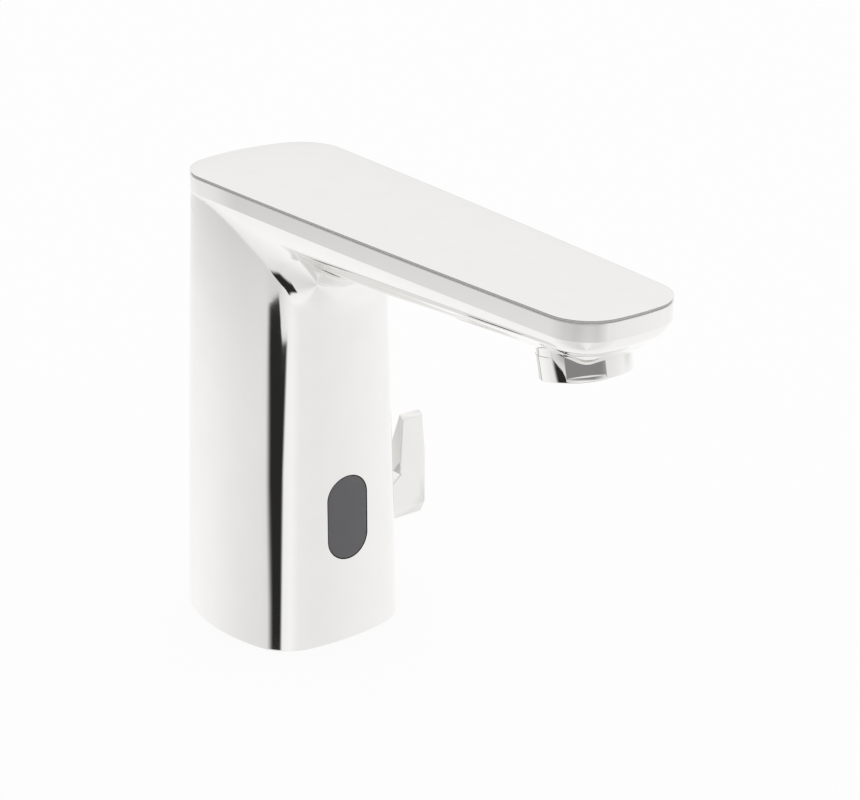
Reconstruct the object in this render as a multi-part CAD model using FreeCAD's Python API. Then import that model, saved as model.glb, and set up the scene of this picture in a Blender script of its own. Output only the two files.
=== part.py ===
"""Touch-free basin tap with a side lever for the temperature.

The origin is the middle of the foot on the deck. +Z is up, the spout points along -Y and the
temperature lever is on the +X side. All lengths are in millimetres and all angles in degrees.
"""
import FreeCAD
import Part
import math
import os

V = FreeCAD.Vector

# ---------------------------------------------------------------- outside of the tap
tap_height = 140.0          # deck to the top of the cover
band_height = 4.7           # upright band under the cover's seam
seam_height = 0.7           # dark seam between the casting's rim and the cover's lip
lip_thickness = 0.3         # visible edge of the cover
hull_inset = 5.2            # how far the arm's flank leans inwards below the band
hull_edge_drop = 10.1       # from the band's lower edge to the arm's lower edge, over the foot
hull_rise = 1.7             # the arm's lower edge climbs towards the tip by this angle
keel_radius = 20.0          # round of the arm's underside
keel_start = 44.0           # angle of the underside at the arm's lower edge
keel_end = 80.0             # angle of the underside at its flat middle
neck_round = 10.0           # hollow round between the column's front and the arm
web_half_width = 9.0        # half the width of that round at its forward end
web_round = 8.0

wall = 3.2                  # casting wall of the column
rim_wall = 2.6              # casting wall of the arm's open top
trough_depth = 4.4          # inner floor of the arm, below the band's lower edge

# ---------------------------------------------------------------- outlet
reach = 132.9               # middle of the foot to the middle of the outlet
outlet_drop = 21.4          # top of the cover to the lowest edge of the aerator collar
outlet_tilt = 12.0          # the jet leans forward by this angle
collar_diameter = 24.0      # M24x1 aerator housing
collar_height = 6.5         # visible collar
flats_width = 22.0          # spanner size of the collar
flats_angle = 39.0          # where the first spanner flat faces, from the front towards -X
ledge_height = 1.2          # full round left below the flats
thread_length = 2.5         # thread above the collar
thread_clearance = 0.05
insert_lip = 0.9            # flow insert below the collar

# ---------------------------------------------------------------- sensor window
window_width = 13.8
window_height = 26.4
window_z = 40.1
window_thickness = 2.6
window_gap = 0.25

# ---------------------------------------------------------------- temperature lever
lever_z = 24.0              # height of the lever's axis
lever_depth = 9.0           # front to back at the hub
hub_height = 8.4
hub_start = 29.7            # where the lever begins, from the middle of the foot
lever_outer = 47.6          # outermost face of the paddle
paddle_foot_width = 10.6
paddle_top_width = 7.6
paddle_top = 54.4           # top of the paddle, above the deck
paddle_top_depth = 1.9      # front to back at the top
paddle_bevel = 1.8          # slope at the top of the front face
gusset_top = 34.5           # where the hub's web meets the paddle
lever_ring_radius = 13.0
lever_ring_proud = 1.6      # how far the ring stands off the casting

# ---------------------------------------------------------------- foot
gasket_height = 2.6
gasket_width = 3.2
plate_thickness = 6.0
foot_clearance = 0.1        # between the casting and what lies inside its foot
hose_clearance = 2.2        # round each hose end, in the plate's one slot for both
stud_x = 10.0
stud_minor_radius = 3.32    # M8
boss_radius = 4.6
boss_height = 12.0
plate_screw_radius = 2.0    # M4
plate_head_radius = 3.2

# ---------------------------------------------------------------- valve block
block_base = gasket_height + plate_thickness
block_left = -14.0
block_right = 19.0
block_half_depth = 12.4
block_top = 36.0
deck_top = 44.0             # seat of the solenoid valve
deck_radius = 14.5
valve_y = 8.8               # axis of the solenoid valve, behind the middle
mixer_radius = 10.0
mixer_end = -1.0            # inner end of the mixer's bore, along X
inlet_x = -8.0
inlet_spacing = 16.0        # hot to cold
inlet_radius = 4.5          # M10x1
inlet_thread = 8.0
inlet_chamber_radius = 4.2  # behind the thread, for the strainer and the check valve
inlet_top = 33.0
fit = 0.05                  # play between turned parts that slip into each other

# ---------------------------------------------------------------- solenoid
core_tube_radius = 4.8
core_tube_wall = 0.9
core_tube_height = 26.0
plunger_radius = 3.82
plunger_length = 14.0
plunger_travel = 1.2
coil_radius = 10.0
coil_height = 19.0
bonnet_height = 4.5
diaphragm_thickness = 1.2

# ---------------------------------------------------------------- electronics
battery_width = 35.0
battery_depth = 19.5
battery_height = 36.0
battery_gap = 8.6           # between the battery and the cover
battery_y = 8.2
cradle_wall = 1.2
module_width = 26.0
module_depth = 9.0
module_base = 58.0
module_height = 30.0
housing_width = 17.0
housing_depth = 10.5
housing_wall = 1.2
housing_extra = 1.6         # the sensor housing is this much longer than the window at each end
led_radius = 2.5

# ---------------------------------------------------------------- spout tube
tube_radius = 3.5
tube_wall = 0.8
tube_y = -7.9               # the tube climbs the column here
tube_gap = 0.2              # between the tube's run along the arm and the cover
tube_bend = 8.0
tip_bend = 4.4
tip_channel_width = 8.4
tip_block_y = -118.0        # the arm is solid beyond this, but for the tube's channel

crease_z = tap_height - lip_thickness - seam_height - band_height
rim_z = crease_z + band_height
plate_inset = 0.9           # the cover's plate drops inside the rim
cover_plate = 1.4           # thickness of the cover
cover_bottom = tap_height - cover_plate
trough_floor = crease_z - trough_depth
outlet_height = tap_height - outlet_drop
battery_base = cover_bottom - battery_gap - battery_height
tube_z = cover_bottom - tube_gap - tube_radius

os.makedirs("parts", exist_ok=True)


# ---------------------------------------------------------------- plane helpers
def circle_through(p, q, r):
    """Centre and radius of the circle through three points."""
    d = 2 * (p[0] * (q[1] - r[1]) + q[0] * (r[1] - p[1]) + r[0] * (p[1] - q[1]))
    pp = p[0] ** 2 + p[1] ** 2
    qq = q[0] ** 2 + q[1] ** 2
    rr = r[0] ** 2 + r[1] ** 2
    x = (pp * (q[1] - r[1]) + qq * (r[1] - p[1]) + rr * (p[1] - q[1])) / d
    y = (pp * (r[0] - q[0]) + qq * (p[0] - r[0]) + rr * (q[0] - p[0])) / d
    return x, y, math.hypot(p[0] - x, p[1] - y)


def corner_round(c1, c2, radius, near):
    """A round inside two large circles: its circle and where it touches each of them."""
    a = c1[2] - radius
    b = c2[2] - radius
    dx = c2[0] - c1[0]
    dy = c2[1] - c1[1]
    dist = math.hypot(dx, dy)
    along = (a * a - b * b + dist * dist) / (2 * dist)
    aside = math.sqrt(max(a * a - along * along, 1e-9))
    centres = []
    for side in (1, -1):
        x = c1[0] + (dx * along - side * dy * aside) / dist
        y = c1[1] + (dy * along + side * dx * aside) / dist
        centres.append((math.hypot(x - near[0], y - near[1]), x, y))
    x, y = min(centres)[1:]
    touches = []
    for c in (c1, c2):
        away = math.hypot(x - c[0], y - c[1])
        touches.append((c[0] + (x - c[0]) * c[2] / away, c[1] + (y - c[1]) * c[2] / away))
    return (x, y, radius), touches[0], touches[1]


def arc_middle(c, p, q):
    """Middle of the shorter arc from p to q on circle c."""
    start = math.atan2(p[1] - c[1], p[0] - c[0])
    end = math.atan2(q[1] - c[1], q[0] - c[0])
    half = ((end - start + math.pi) % (2 * math.pi) - math.pi) / 2
    return c[0] + c[2] * math.cos(start + half), c[1] + c[2] * math.sin(start + half)


def mirrored(p):
    return -p[0], p[1]


class Outline:
    """A four-sided outline with bowed sides and round corners, the same on both sides of x = 0."""

    fields = ("half_back", "y_back", "bow_back", "half_front", "y_front", "bow_front", "bow_side",
              "round_back", "round_front")

    def __init__(self, **sizes):
        for name in self.fields:
            setattr(self, name, sizes[name])

    def between(self, other, share):
        """The outline that lies at this share of the way to the other one."""
        mixed = {}
        for name in self.fields:
            mine = getattr(self, name)
            mixed[name] = mine + (getattr(other, name) - mine) * share
        return Outline(**mixed)

    def changed(self, **sizes):
        mixed = {name: getattr(self, name) for name in self.fields}
        mixed.update(sizes)
        return Outline(**mixed)

    def wire(self, inset, z):
        """Closed wire of eight arcs; z is a height or a function of x and y."""
        back_right = (self.half_back, self.y_back)
        front_right = (self.half_front, self.y_front)
        back = circle_through(mirrored(back_right), (0, self.y_back + self.bow_back), back_right)
        front = circle_through(mirrored(front_right), (0, self.y_front - self.bow_front), front_right)
        run_x = self.half_back - self.half_front
        run_y = self.y_back - self.y_front
        run = math.hypot(run_x, run_y)
        middle = ((self.half_back + self.half_front) / 2 + self.bow_side * run_y / run,
                  (self.y_back + self.y_front) / 2 - self.bow_side * run_x / run)
        side = circle_through(back_right, middle, front_right)
        back = (back[0], back[1], back[2] - inset)
        front = (front[0], front[1], front[2] - inset)
        side = (side[0], side[1], side[2] - inset)
        least_round = 2.0
        rear, rear_in, rear_out = corner_round(back, side, max(self.round_back - inset, least_round), back_right)
        nose, nose_in, nose_out = corner_round(side, front, max(self.round_front - inset, least_round), front_right)
        spans = [(mirrored(rear_in), (0, back[1] + back[2]), rear_in)]
        right = [(rear, rear_in, rear_out), (side, rear_out, nose_in), (nose, nose_in, nose_out)]
        for circle, start, end in right:
            spans.append((start, arc_middle(circle, start, end), end))
        spans.append((nose_out, (0, front[1] - front[2]), mirrored(nose_out)))
        for circle, start, end in reversed(right):
            spans.append((mirrored(end), mirrored(arc_middle(circle, start, end)), mirrored(start)))
        height = z if callable(z) else (lambda x, y: z)
        edges = []
        for span in spans:
            points = [V(x, y, height(x, y)) for x, y in span]
            edges.append(Part.Arc(*points).toShape())
        return Part.Wire(edges)

    def face(self, inset, z):
        return Part.Face(self.wire(inset, z))

    def slab(self, inset, z_low, z_high):
        return self.face(inset, z_low).extrude(V(0, 0, z_high - z_low))


def fused(shapes):
    """One clean solid out of overlapping ones."""
    result = shapes[0].fuse(shapes[1:]) if len(shapes) > 1 else shapes[0]
    return result.removeSplitter()


def cylinder(radius, start, end):
    """A cylinder between two points."""
    axis = end - start
    return Part.makeCylinder(radius, axis.Length, start, axis)


def ring(outer, inner, start, end):
    return cylinder(outer, start, end).cut(cylinder(inner, start, end))


def block(x_low, x_high, y_low, y_high, z_low, z_high):
    return Part.makeBox(x_high - x_low, y_high - y_low, z_high - z_low, V(x_low, y_low, z_low))


def prism(points, direction):
    """A straight prism from a closed run of points."""
    return Part.Face(Part.makePolygon(points + points[:1])).extrude(direction)


def stadium(width, height, y_low, y_high, z_middle):
    """An upright stadium that runs along Y, centred on x = 0."""
    radius = width / 2
    straight = height / 2 - radius
    body = block(-radius, radius, y_low, y_high, z_middle - straight, z_middle + straight)
    ends = [cylinder(radius, V(0, y_low, z), V(0, y_high, z)) for z in (z_middle - straight, z_middle + straight)]
    return fused([body] + ends)


def coil_spring(radius, wire, turns, start_z, end_z, x, y):
    """A compression spring on a vertical axis, between two heights."""
    low = start_z + wire / 2
    high = end_z - wire / 2
    helix = Part.makeHelix((high - low) / turns, high - low, radius - wire / 2)
    section = Part.Wire(Part.makeCircle(wire / 2, V(radius - wire / 2, 0, 0), V(0, 1, 0)))
    spring = Part.Wire(helix.Edges).makePipeShell([section], True, False)
    spring.translate(V(x, y, low))
    return spring


# ---------------------------------------------------------------- outer form
head_outline = Outline(half_back=24.7, y_back=17.0, bow_back=6.2, half_front=17.4, y_front=-149.8,
                       bow_front=2.2, bow_side=0.9, round_back=14.4, round_front=12.3)
foot_outline = Outline(half_back=25.1, y_back=22.1, bow_back=6.9, half_front=21.5, y_front=-26.0,
                       bow_front=3.4, bow_side=5.3, round_back=9.0, round_front=15.4)
neck_outline = head_outline.changed(half_front=18.3, y_front=-27.0, bow_front=3.0, bow_side=1.6, round_front=12.0)


def column_at(z):
    return foot_outline.between(neck_outline, z / crease_z)


def hull_edge_z(x, y):
    """Height of the arm's lower edge, which climbs towards the tip."""
    return crease_z - hull_edge_drop - y * math.tan(math.radians(hull_rise))


def keel_level(angle):
    """Inset and drop of the underside where it has turned to this angle."""
    start = math.radians(keel_start)
    now = math.radians(angle)
    inset = hull_inset + keel_radius * (math.cos(start) - math.cos(now))
    drop = keel_radius * (math.sin(now) - math.sin(start))
    return inset, drop


def column_front(z):
    return column_at(z).y_front - column_at(z).bow_front


def neck_web():
    """The hollow round that carries the column's front into the underside of the arm."""
    overlap = 0.4
    wall_y = column_front(crease_z - hull_edge_drop) + overlap
    tip_y = wall_y - neck_round
    top = hull_edge_z(0, tip_y) - keel_level(keel_end)[1] + overlap
    depth = 6.0
    half = foot_outline.half_back
    start = V(-half, wall_y, top - neck_round)
    end = V(-half, tip_y, top)
    diagonal = neck_round * math.sqrt(0.5)
    middle = V(-half, tip_y + diagonal, top - neck_round + diagonal)
    corners = [end, V(-half, tip_y, top + depth), V(-half, wall_y + depth, top + depth),
               V(-half, wall_y + depth, top - neck_round), start]
    edges = [Part.Arc(start, middle, end).toShape()]
    for p, q in zip(corners, corners[1:]):
        edges.append(Part.LineSegment(p, q).toShape())
    web = Part.Face(Part.Wire(edges)).extrude(V(2 * half, 0, 0))
    plan = neck_outline.changed(half_back=neck_outline.half_back - wall, half_front=web_half_width,
                                y_front=neck_outline.y_front - neck_round - 1, round_front=web_round, bow_side=0.6)
    return web.common(plan.slab(0, top - neck_round - 1, top + depth + 1))


def outer_form():
    """Column, arm and band as one solid with no hollows."""
    flank = Part.makeLoft([head_outline.wire(0, crease_z), head_outline.wire(hull_inset, hull_edge_z)], True, True)
    levels = []
    for angle in (keel_start, 52, 60, 70, keel_end):
        inset, drop = keel_level(angle)
        levels.append(head_outline.wire(inset, lambda x, y, d=drop: hull_edge_z(x, y) - d))
    keel = Part.makeLoft(levels, True, False)
    column = Part.makeLoft([foot_outline.wire(0, 0), neck_outline.wire(0, crease_z)], True, True)
    band = head_outline.slab(0, crease_z, rim_z)
    return fused([fused([band, flank, keel, column]), neck_web()])


# ---------------------------------------------------------------- outlet frame
outlet_point = V(0, -reach, outlet_height)
outlet_up = V(0, math.sin(math.radians(outlet_tilt)), math.cos(math.radians(outlet_tilt)))
collar_radius = collar_diameter / 2
thread_radius = collar_radius - 0.1
thread_end = collar_height + thread_length
outlet_seal_height = 1.0


def on_outlet(height):
    """A point on the outlet's axis, this far above the collar's lower edge."""
    return outlet_point + outlet_up * height


def outlet_cylinder(radius, low, high):
    return cylinder(radius, on_outlet(low), on_outlet(high))


tube_end_y = on_outlet(thread_end).y
outlet_bore_top = thread_end + outlet_seal_height + fit


# ---------------------------------------------------------------- casting
boss_places = [(-18.4, 17.6), (18.4, 17.6), (-17.3, -17.7), (17.3, -17.7)]


def body_casting(form):
    column_hollow = Part.makeLoft([column_at(-1).wire(wall, -1), column_at(crease_z).wire(wall, crease_z)], True, True)
    slope_inset = rim_wall + hull_inset * (crease_z - trough_floor) / hull_edge_drop
    trough_low = Part.makeLoft([head_outline.wire(slope_inset + 1.0, trough_floor),
                                head_outline.wire(rim_wall, crease_z)], True, True)
    trough_high = head_outline.slab(rim_wall, crease_z, rim_z + 1)
    beyond = block(-40, 40, tip_block_y, 60, 0, tap_height + 5)
    trough = fused([trough_low, trough_high]).common(beyond)
    channel = block(-tip_channel_width / 2, tip_channel_width / 2, tube_end_y - tube_radius - 0.6, tip_block_y + 1,
                    tube_z - tip_bend, rim_z + 1)
    body = form.cut(fused([column_hollow, trough]))
    body = body.cut(channel).cut(head_outline.slab(rim_wall, cover_bottom - 0.05, rim_z + 1))
    bosses = []
    for x, y in boss_places:
        bosses.append(cylinder(boss_radius, V(x, y, block_base), V(x, y, block_base + boss_height)))
    bosses = [boss.common(form) for boss in bosses]
    for side in (-1, 1):
        x = side * ear_offset
        bosses.append(cylinder(ear_boss_radius, V(x, ear_y, window_z), V(x, column_front(window_z) + 2.4, window_z)))
    body = fused([body] + bosses)
    for x, y in boss_places:
        body = body.cut(cylinder(plate_screw_radius, V(x, y, block_base - 1), V(x, y, block_base + boss_height - 2)))
    for side in (-1, 1):
        x = side * ear_offset
        body = body.cut(cylinder(ear_screw_radius, V(x, ear_y + 1, window_z), V(x, ear_y - ear_screw_bite, window_z)))
    front = column_front(window_z)
    body = body.cut(stadium(window_width + 2 * window_gap, window_height + 2 * window_gap,
                            front - 4, front + wall + 2, window_z))
    body = body.cut(cylinder(lever_ring_radius - 1.0 + fit, V(15, 0, lever_z), V(40, 0, lever_z)))
    body = body.cut(outlet_cylinder(collar_radius + 0.3, -8, collar_height + 0.1))
    body = body.cut(outlet_cylinder(thread_radius + thread_clearance, 0, outlet_bore_top))
    body = body.cut(cylinder(tube_radius + fit, V(0, tube_end_y, outlet_height), V(0, tube_end_y, tube_z)))
    body = body.cut(tube_seal_grooves()[1])
    return body.cut(cylinder(grub_radius, V(0, 10, grub_z), V(0, 40, grub_z)))


grub_radius = 1.5
grub_z = crease_z + 1.2
grub_length = 4.5
ear_offset = 12.2
ear_boss_radius = 2.6
ear_screw_radius = 1.0
ear_screw_bite = 2.4
ear_y = column_front(window_z) + wall + 2.2


# ---------------------------------------------------------------- cover
def top_cover():
    plate = head_outline.slab(rim_wall + 0.15, cover_bottom, tap_height - lip_thickness)
    step = head_outline.slab(plate_inset, rim_z + seam_height - 0.4, tap_height - lip_thickness)
    lip = head_outline.slab(0.05, tap_height - lip_thickness, tap_height)
    tab_depth = 2.6
    back = head_outline.y_back + head_outline.bow_back - wall - 0.2
    tab = block(-4, 4, back - tab_depth, back, grub_z - 3, cover_bottom + 0.2)
    tab = tab.cut(cylinder(grub_radius, V(0, back - tab_depth - 1, grub_z), V(0, back + 1, grub_z)))
    return fused([plate, step, lip, tab])


def cover_gasket():
    """Dark rubber frame in the seam between the rim and the cover."""
    low = rim_z
    high = rim_z + seam_height - 0.4
    return head_outline.slab(plate_inset - 0.3, low, high).cut(head_outline.slab(rim_wall + 0.1, low - 1, high + 1))


def cover_grub_screw():
    back = head_outline.y_back + head_outline.bow_back
    screw = cylinder(grub_radius - fit, V(0, back - 0.4 - grub_length, grub_z), V(0, back - 0.4, grub_z))
    return screw.cut(hexagon_prism(1.5, V(0, back - 2.2, grub_z), V(0, back, grub_z)))


def hexagon_prism(across, start, end):
    """A hexagonal bar between two points, for sockets and nuts."""
    axis = (end - start).normalize()
    helper = V(0, 0, 1) if abs(axis.z) < 0.9 else V(1, 0, 0)
    u = axis.cross(helper).normalize()
    v = axis.cross(u)
    corner = across / math.sqrt(3)
    points = []
    for i in range(6):
        a = math.radians(60 * i)
        points.append(start + u * (corner * math.cos(a)) + v * (corner * math.sin(a)))
    return prism(points, end - start)


# ---------------------------------------------------------------- sensor
def sensor_window(form):
    front = column_front(window_z)
    lens = stadium(window_width, window_height, front - 4, front + window_thickness, window_z)
    return lens.common(form)


gasket_ring = 1.2
gasket_depth = 1.6
ear_screw_head = 1.9


def window_gasket():
    low = column_front(window_z) + window_thickness
    high = low + gasket_depth
    outer = stadium(window_width, window_height, low, high, window_z)
    inner = stadium(window_width - 2 * gasket_ring, window_height - 2 * gasket_ring, low - 1, high + 1, window_z)
    return outer.cut(inner)


def housing_limits():
    y_low = column_front(window_z) + window_thickness + gasket_depth
    half = window_height / 2 + housing_extra
    return y_low, y_low + housing_depth, window_z - half, window_z + half


def sensor_housing():
    y_low, y_high, z_low, z_high = housing_limits()
    half = housing_width / 2
    shell = block(-half, half, y_low, y_high, z_low, z_high)
    inner = block(-half + housing_wall, half - housing_wall, y_low - 1, y_high - housing_wall,
                  z_low + housing_wall, z_high - housing_wall)
    ears = block(-ear_offset - 2.4, ear_offset + 2.4, ear_y, ear_y + 2, window_z - 3, window_z + 3)
    shell = fused([shell, ears]).cut(inner)
    for side in (-1, 1):
        x = side * ear_offset
        shell = shell.cut(cylinder(ear_screw_radius + 0.2, V(x, ear_y - 1, window_z), V(x, ear_y + 3, window_z)))
    return shell


board_thickness = 1.6


def board_front():
    return housing_limits()[1] - housing_wall - board_thickness - 1.0


def sensor_board():
    y_low, y_high, z_low, z_high = housing_limits()
    half = housing_width / 2 - housing_wall - 0.1
    margin = housing_wall + 0.1
    board = block(-half, half, board_front(), board_front() + board_thickness, z_low + margin, z_high - margin)
    posts = []
    for z in (z_low + 4, z_high - 4):
        posts.append(cylinder(1.2, V(0, board_front() + board_thickness, z), V(0, y_high - housing_wall, z)))
    return fused([board] + posts)


led_spread = 7.0


def infrared_diode(z):
    """Domed diode on the board, looking out through the window."""
    tip = board_front() - 3.4
    barrel = cylinder(led_radius, V(0, board_front(), z), V(0, tip + led_radius * 0.5, z))
    dome = Part.makeSphere(led_radius, V(0, tip + led_radius * 0.5, z))
    flange = cylinder(led_radius + 0.4, V(0, board_front(), z), V(0, board_front() - 0.9, z))
    front_half = block(-9, 9, tip - 9, board_front(), z - 9, z + 9)
    return fused([barrel, flange, dome.common(front_half)])


def screw(radius, head_radius, head_height, seat, tip):
    """A cap screw whose head sits on seat and whose shank ends at tip."""
    axis = (tip - seat).normalize()
    head = cylinder(head_radius, seat - axis * head_height, seat)
    shank = cylinder(radius, seat - axis * (head_height / 2), tip)
    socket = hexagon_prism(head_radius, seat - axis * (head_height + 0.1), seat - axis * (head_height * 0.4))
    return fused([head, shank]).cut(socket)


def sensor_screws():
    screws = []
    for side in (-1, 1):
        x = side * ear_offset
        screws.append(screw(ear_screw_radius - fit, ear_screw_head, 1.6, V(x, ear_y + 2, window_z),
                            V(x, ear_y - ear_screw_bite + 0.2, window_z)))
    return Part.makeCompound(screws)


# ---------------------------------------------------------------- electronics and battery
def control_module():
    """Potted valve electronics that stand on the sensor housing."""
    y_low, y_high, z_low, z_high = housing_limits()
    half = module_width / 2
    y_back = y_high
    box = block(-half, half, y_back - module_depth, y_back, module_base, module_base + module_height)
    foot = block(-3, 3, y_back - 6, y_back - 1, z_high, module_base + 1)
    lid_groove = block(-half - 1, half + 1, y_back - 2.2, y_back - 1.9, module_base - 1, module_base + module_height + 1)
    inner = block(-half + 0.8, half - 0.8, y_back - module_depth - 1, y_back + 1, module_base + 0.8,
                  module_base + module_height - 0.8)
    return fused([box, foot]).cut(lid_groove.cut(inner))


def battery():
    """Lithium pack of two cells in one shrink-wrapped body."""
    cell = battery_depth / 2
    wide = battery_width / 2 - cell
    core = block(-wide, wide, battery_y - cell, battery_y + cell, battery_base, battery_base + battery_height)
    ends = []
    for side in (-1, 1):
        ends.append(cylinder(cell, V(side * wide, battery_y, battery_base),
                             V(side * wide, battery_y, battery_base + battery_height)))
    return fused([core] + ends)


def battery_cradle():
    """Open plastic tray under and behind the battery, with feet on the solenoid's yoke."""
    cell = battery_depth / 2
    half = battery_width / 2
    low = battery_base - contact_height - cradle_wall
    tray = block(-half, half, battery_y - cell, battery_y + cell, low, low + cradle_wall)
    back = block(-half + cell, half - cell, battery_y + cell + 0.1, battery_y + cell + 0.1 + cradle_wall,
                 low, battery_base + battery_height * 0.6)
    joint = block(-half + cell, half - cell, battery_y + cell - 1, battery_y + cell + 0.1 + cradle_wall,
                  low, low + cradle_wall)
    legs = []
    for side in (-1, 1):
        x = side * (coil_radius - 2)
        legs.append(block(x - 2, x + 2, valve_y - 4, valve_y + 4, yoke_top, low))
    return fused([tray, back, joint] + legs)


contact_height = 1.6
contact_length = 10.0
contact_width = 4.0
contact_sheet = 0.4


def battery_contacts():
    """Two bent spring strips between the cradle's floor and the battery's poles."""
    strips = []
    for side in (-1, 1):
        x = side * (battery_width / 2 - battery_depth / 2) - contact_width / 2
        low = battery_base - contact_height
        half = contact_length / 2
        shape = [(-half, 0), (-half, contact_sheet), (0, contact_height), (half, contact_sheet), (half, 0),
                 (half - 3 * contact_sheet, 0), (0, contact_height - contact_sheet), (3 * contact_sheet - half, 0)]
        strips.append(prism([V(x, battery_y + y, low + z) for y, z in shape], V(contact_width, 0, 0)))
    return Part.makeCompound(strips)


# ---------------------------------------------------------------- foot
def base_gasket():
    inset = wall + foot_clearance
    outline = column_at(gasket_height)
    return outline.slab(inset, 0, gasket_height).cut(outline.slab(inset + gasket_width, -1, gasket_height + 1))


def mounting_plate():
    inset = wall + foot_clearance + 0.1
    plate = column_at(block_base).slab(inset, gasket_height, block_base)
    for x, y in boss_places:
        plate = plate.cut(cylinder(plate_screw_radius + 0.3, V(x, y, 0), V(x, y, block_base + 1)))
        plate = plate.cut(cylinder(plate_head_radius + 0.3, V(x, y, 0), V(x, y, gasket_height + 3.4)))
    slot = inlet_radius + hose_clearance
    for y in inlet_places():
        plate = plate.cut(cylinder(slot, V(inlet_x, y, 0), V(inlet_x, y, block_base + 1)))
    half = inlet_spacing / 2
    plate = plate.cut(block(inlet_x - slot, inlet_x + slot, -half, half, 0, block_base + 1))
    return plate.cut(cylinder(stud_minor_radius, V(stud_x, 0, 0), V(stud_x, 0, block_base + 1)))


def plate_screws():
    screws = []
    for x, y in boss_places:
        screws.append(screw(plate_screw_radius - fit, plate_head_radius, 2.8, V(x, y, gasket_height + 3.4),
                            V(x, y, block_base + boss_height - 3)))
    return Part.makeCompound(screws)


# ---------------------------------------------------------------- valve block
def inlet_places():
    return (inlet_spacing / 2, -inlet_spacing / 2)


seat_radius = 5.0
seat_bore = 2.6
chamber_radius = 11.5
chamber_depth = 2.6
tube_socket_depth = 7.0
passage = 2.0
port_offset = 5.2          # hot and cold ports in the mixer, either side of its axis
disc_port = 1.6
window_x = 5.6              # mixed water leaves the sleeve here


def rising_passage():
    """From the mixer's window up to the solenoid valve's chamber."""
    return cylinder(passage, V(window_x, valve_y, lever_z), V(window_x, valve_y, deck_top - chamber_depth + 1))


def valve_block():
    main = block(block_left, block_right, -block_half_depth, block_half_depth, block_base, block_top)
    deck = cylinder(deck_radius, V(0, valve_y, block_top - 4), V(0, valve_y, deck_top))
    deck = deck.common(block(-40, 40, -block_half_depth, 60, 0, 60))
    socket = cylinder(tube_radius + 2.2, V(0, tube_y, block_top - 4), V(0, tube_y, deck_top))
    body = fused([main, deck, socket])
    body = body.cut(cylinder(mixer_radius, V(mixer_end, 0, lever_z), V(block_right + 1, 0, lever_z)))
    for y in inlet_places():
        thread_top = block_base + inlet_thread
        body = body.cut(cylinder(inlet_radius, V(inlet_x, y, 0), V(inlet_x, y, thread_top)))
        body = body.cut(cylinder(inlet_chamber_radius, V(inlet_x, y, thread_top), V(inlet_x, y, inlet_top)))
        port = V(0, math.copysign(port_offset, y), lever_z + 1)
        body = body.cut(cylinder(passage, port + V(inlet_x, 0, 0), port + V(mixer_end + 0.5, 0, 0)))
    chamber = ring(chamber_radius, seat_radius, V(0, valve_y, deck_top - chamber_depth), V(0, valve_y, deck_top + 1))
    body = body.cut(chamber)
    body = body.cut(cylinder(seat_radius + 1, V(0, valve_y, deck_top - 0.8), V(0, valve_y, deck_top + 1)))
    body = body.cut(cylinder(seat_bore, V(0, valve_y, deck_top - 6), V(0, valve_y, deck_top + 1)))
    link = block(-seat_bore, seat_bore, tube_y, valve_y, deck_top - 8, deck_top - 5)
    body = body.cut(link)
    body = body.cut(cylinder(tube_radius + fit, V(0, tube_y, deck_top - tube_socket_depth), V(0, tube_y, deck_top + 1)))
    body = body.cut(rising_passage()).cut(tube_seal_grooves()[0])
    for x, y in bonnet_screw_places():
        body = body.cut(cylinder(bonnet_screw_radius, V(x, y, deck_top - bonnet_screw_bite - 0.6), V(x, y, deck_top + 1)))
    return body


# ---------------------------------------------------------------- check valves and strainers
strainer_height = 3.2
check_seat_z = block_base + inlet_thread + strainer_height
check_body_height = 2.6
poppet_height = 3.6
check_bore = 2.0
fin = 0.4                   # half the thickness of the poppet's guiding fins


def check_seat(y):
    low = check_seat_z
    return ring(inlet_chamber_radius - fit, check_bore, V(inlet_x, y, low), V(inlet_x, y, low + check_body_height))


def check_poppet(y):
    low = check_seat_z + check_body_height
    disc = cylinder(3.4, V(inlet_x, y, low), V(inlet_x, y, low + 1.4))
    stem = cylinder(1.2, V(inlet_x, y, low), V(inlet_x, y, low + poppet_height))
    reach_down = 2.2
    fins = fused([block(inlet_x - check_bore, inlet_x + check_bore, y - fin, y + fin, low - reach_down, low + fin),
                  block(inlet_x - fin, inlet_x + fin, y - check_bore, y + check_bore, low - reach_down, low + fin)])
    guide = fins.common(cylinder(check_bore - fit, V(inlet_x, y, low - reach_down), V(inlet_x, y, low + 1)))
    return fused([disc, stem, guide])


def check_spring(y):
    low = check_seat_z + check_body_height + 1.4
    return coil_spring(2.3, 0.5, 5, low, inlet_top, inlet_x, y)


def strainer(y):
    """Cup of fine mesh that stands in the inlet below the check valve."""
    low = check_seat_z - strainer_height
    inner = inlet_chamber_radius - 0.9
    cup = ring(inlet_chamber_radius - fit, inner, V(inlet_x, y, low), V(inlet_x, y, check_seat_z))
    floor = cylinder(inner + 0.4, V(inlet_x, y, low), V(inlet_x, y, low + 0.5))
    sieve = fused([cup, floor])
    for row in (0, 1):
        for i in range(6 * (row + 1)):
            a = math.radians(60 * i / (row + 1))
            r = 1.4 * (row + 1)
            x = inlet_x + r * math.cos(a)
            yy = y + r * math.sin(a)
            sieve = sieve.cut(cylinder(0.4, V(x, yy, low - 1), V(x, yy, low + 1)))
    return sieve


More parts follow.
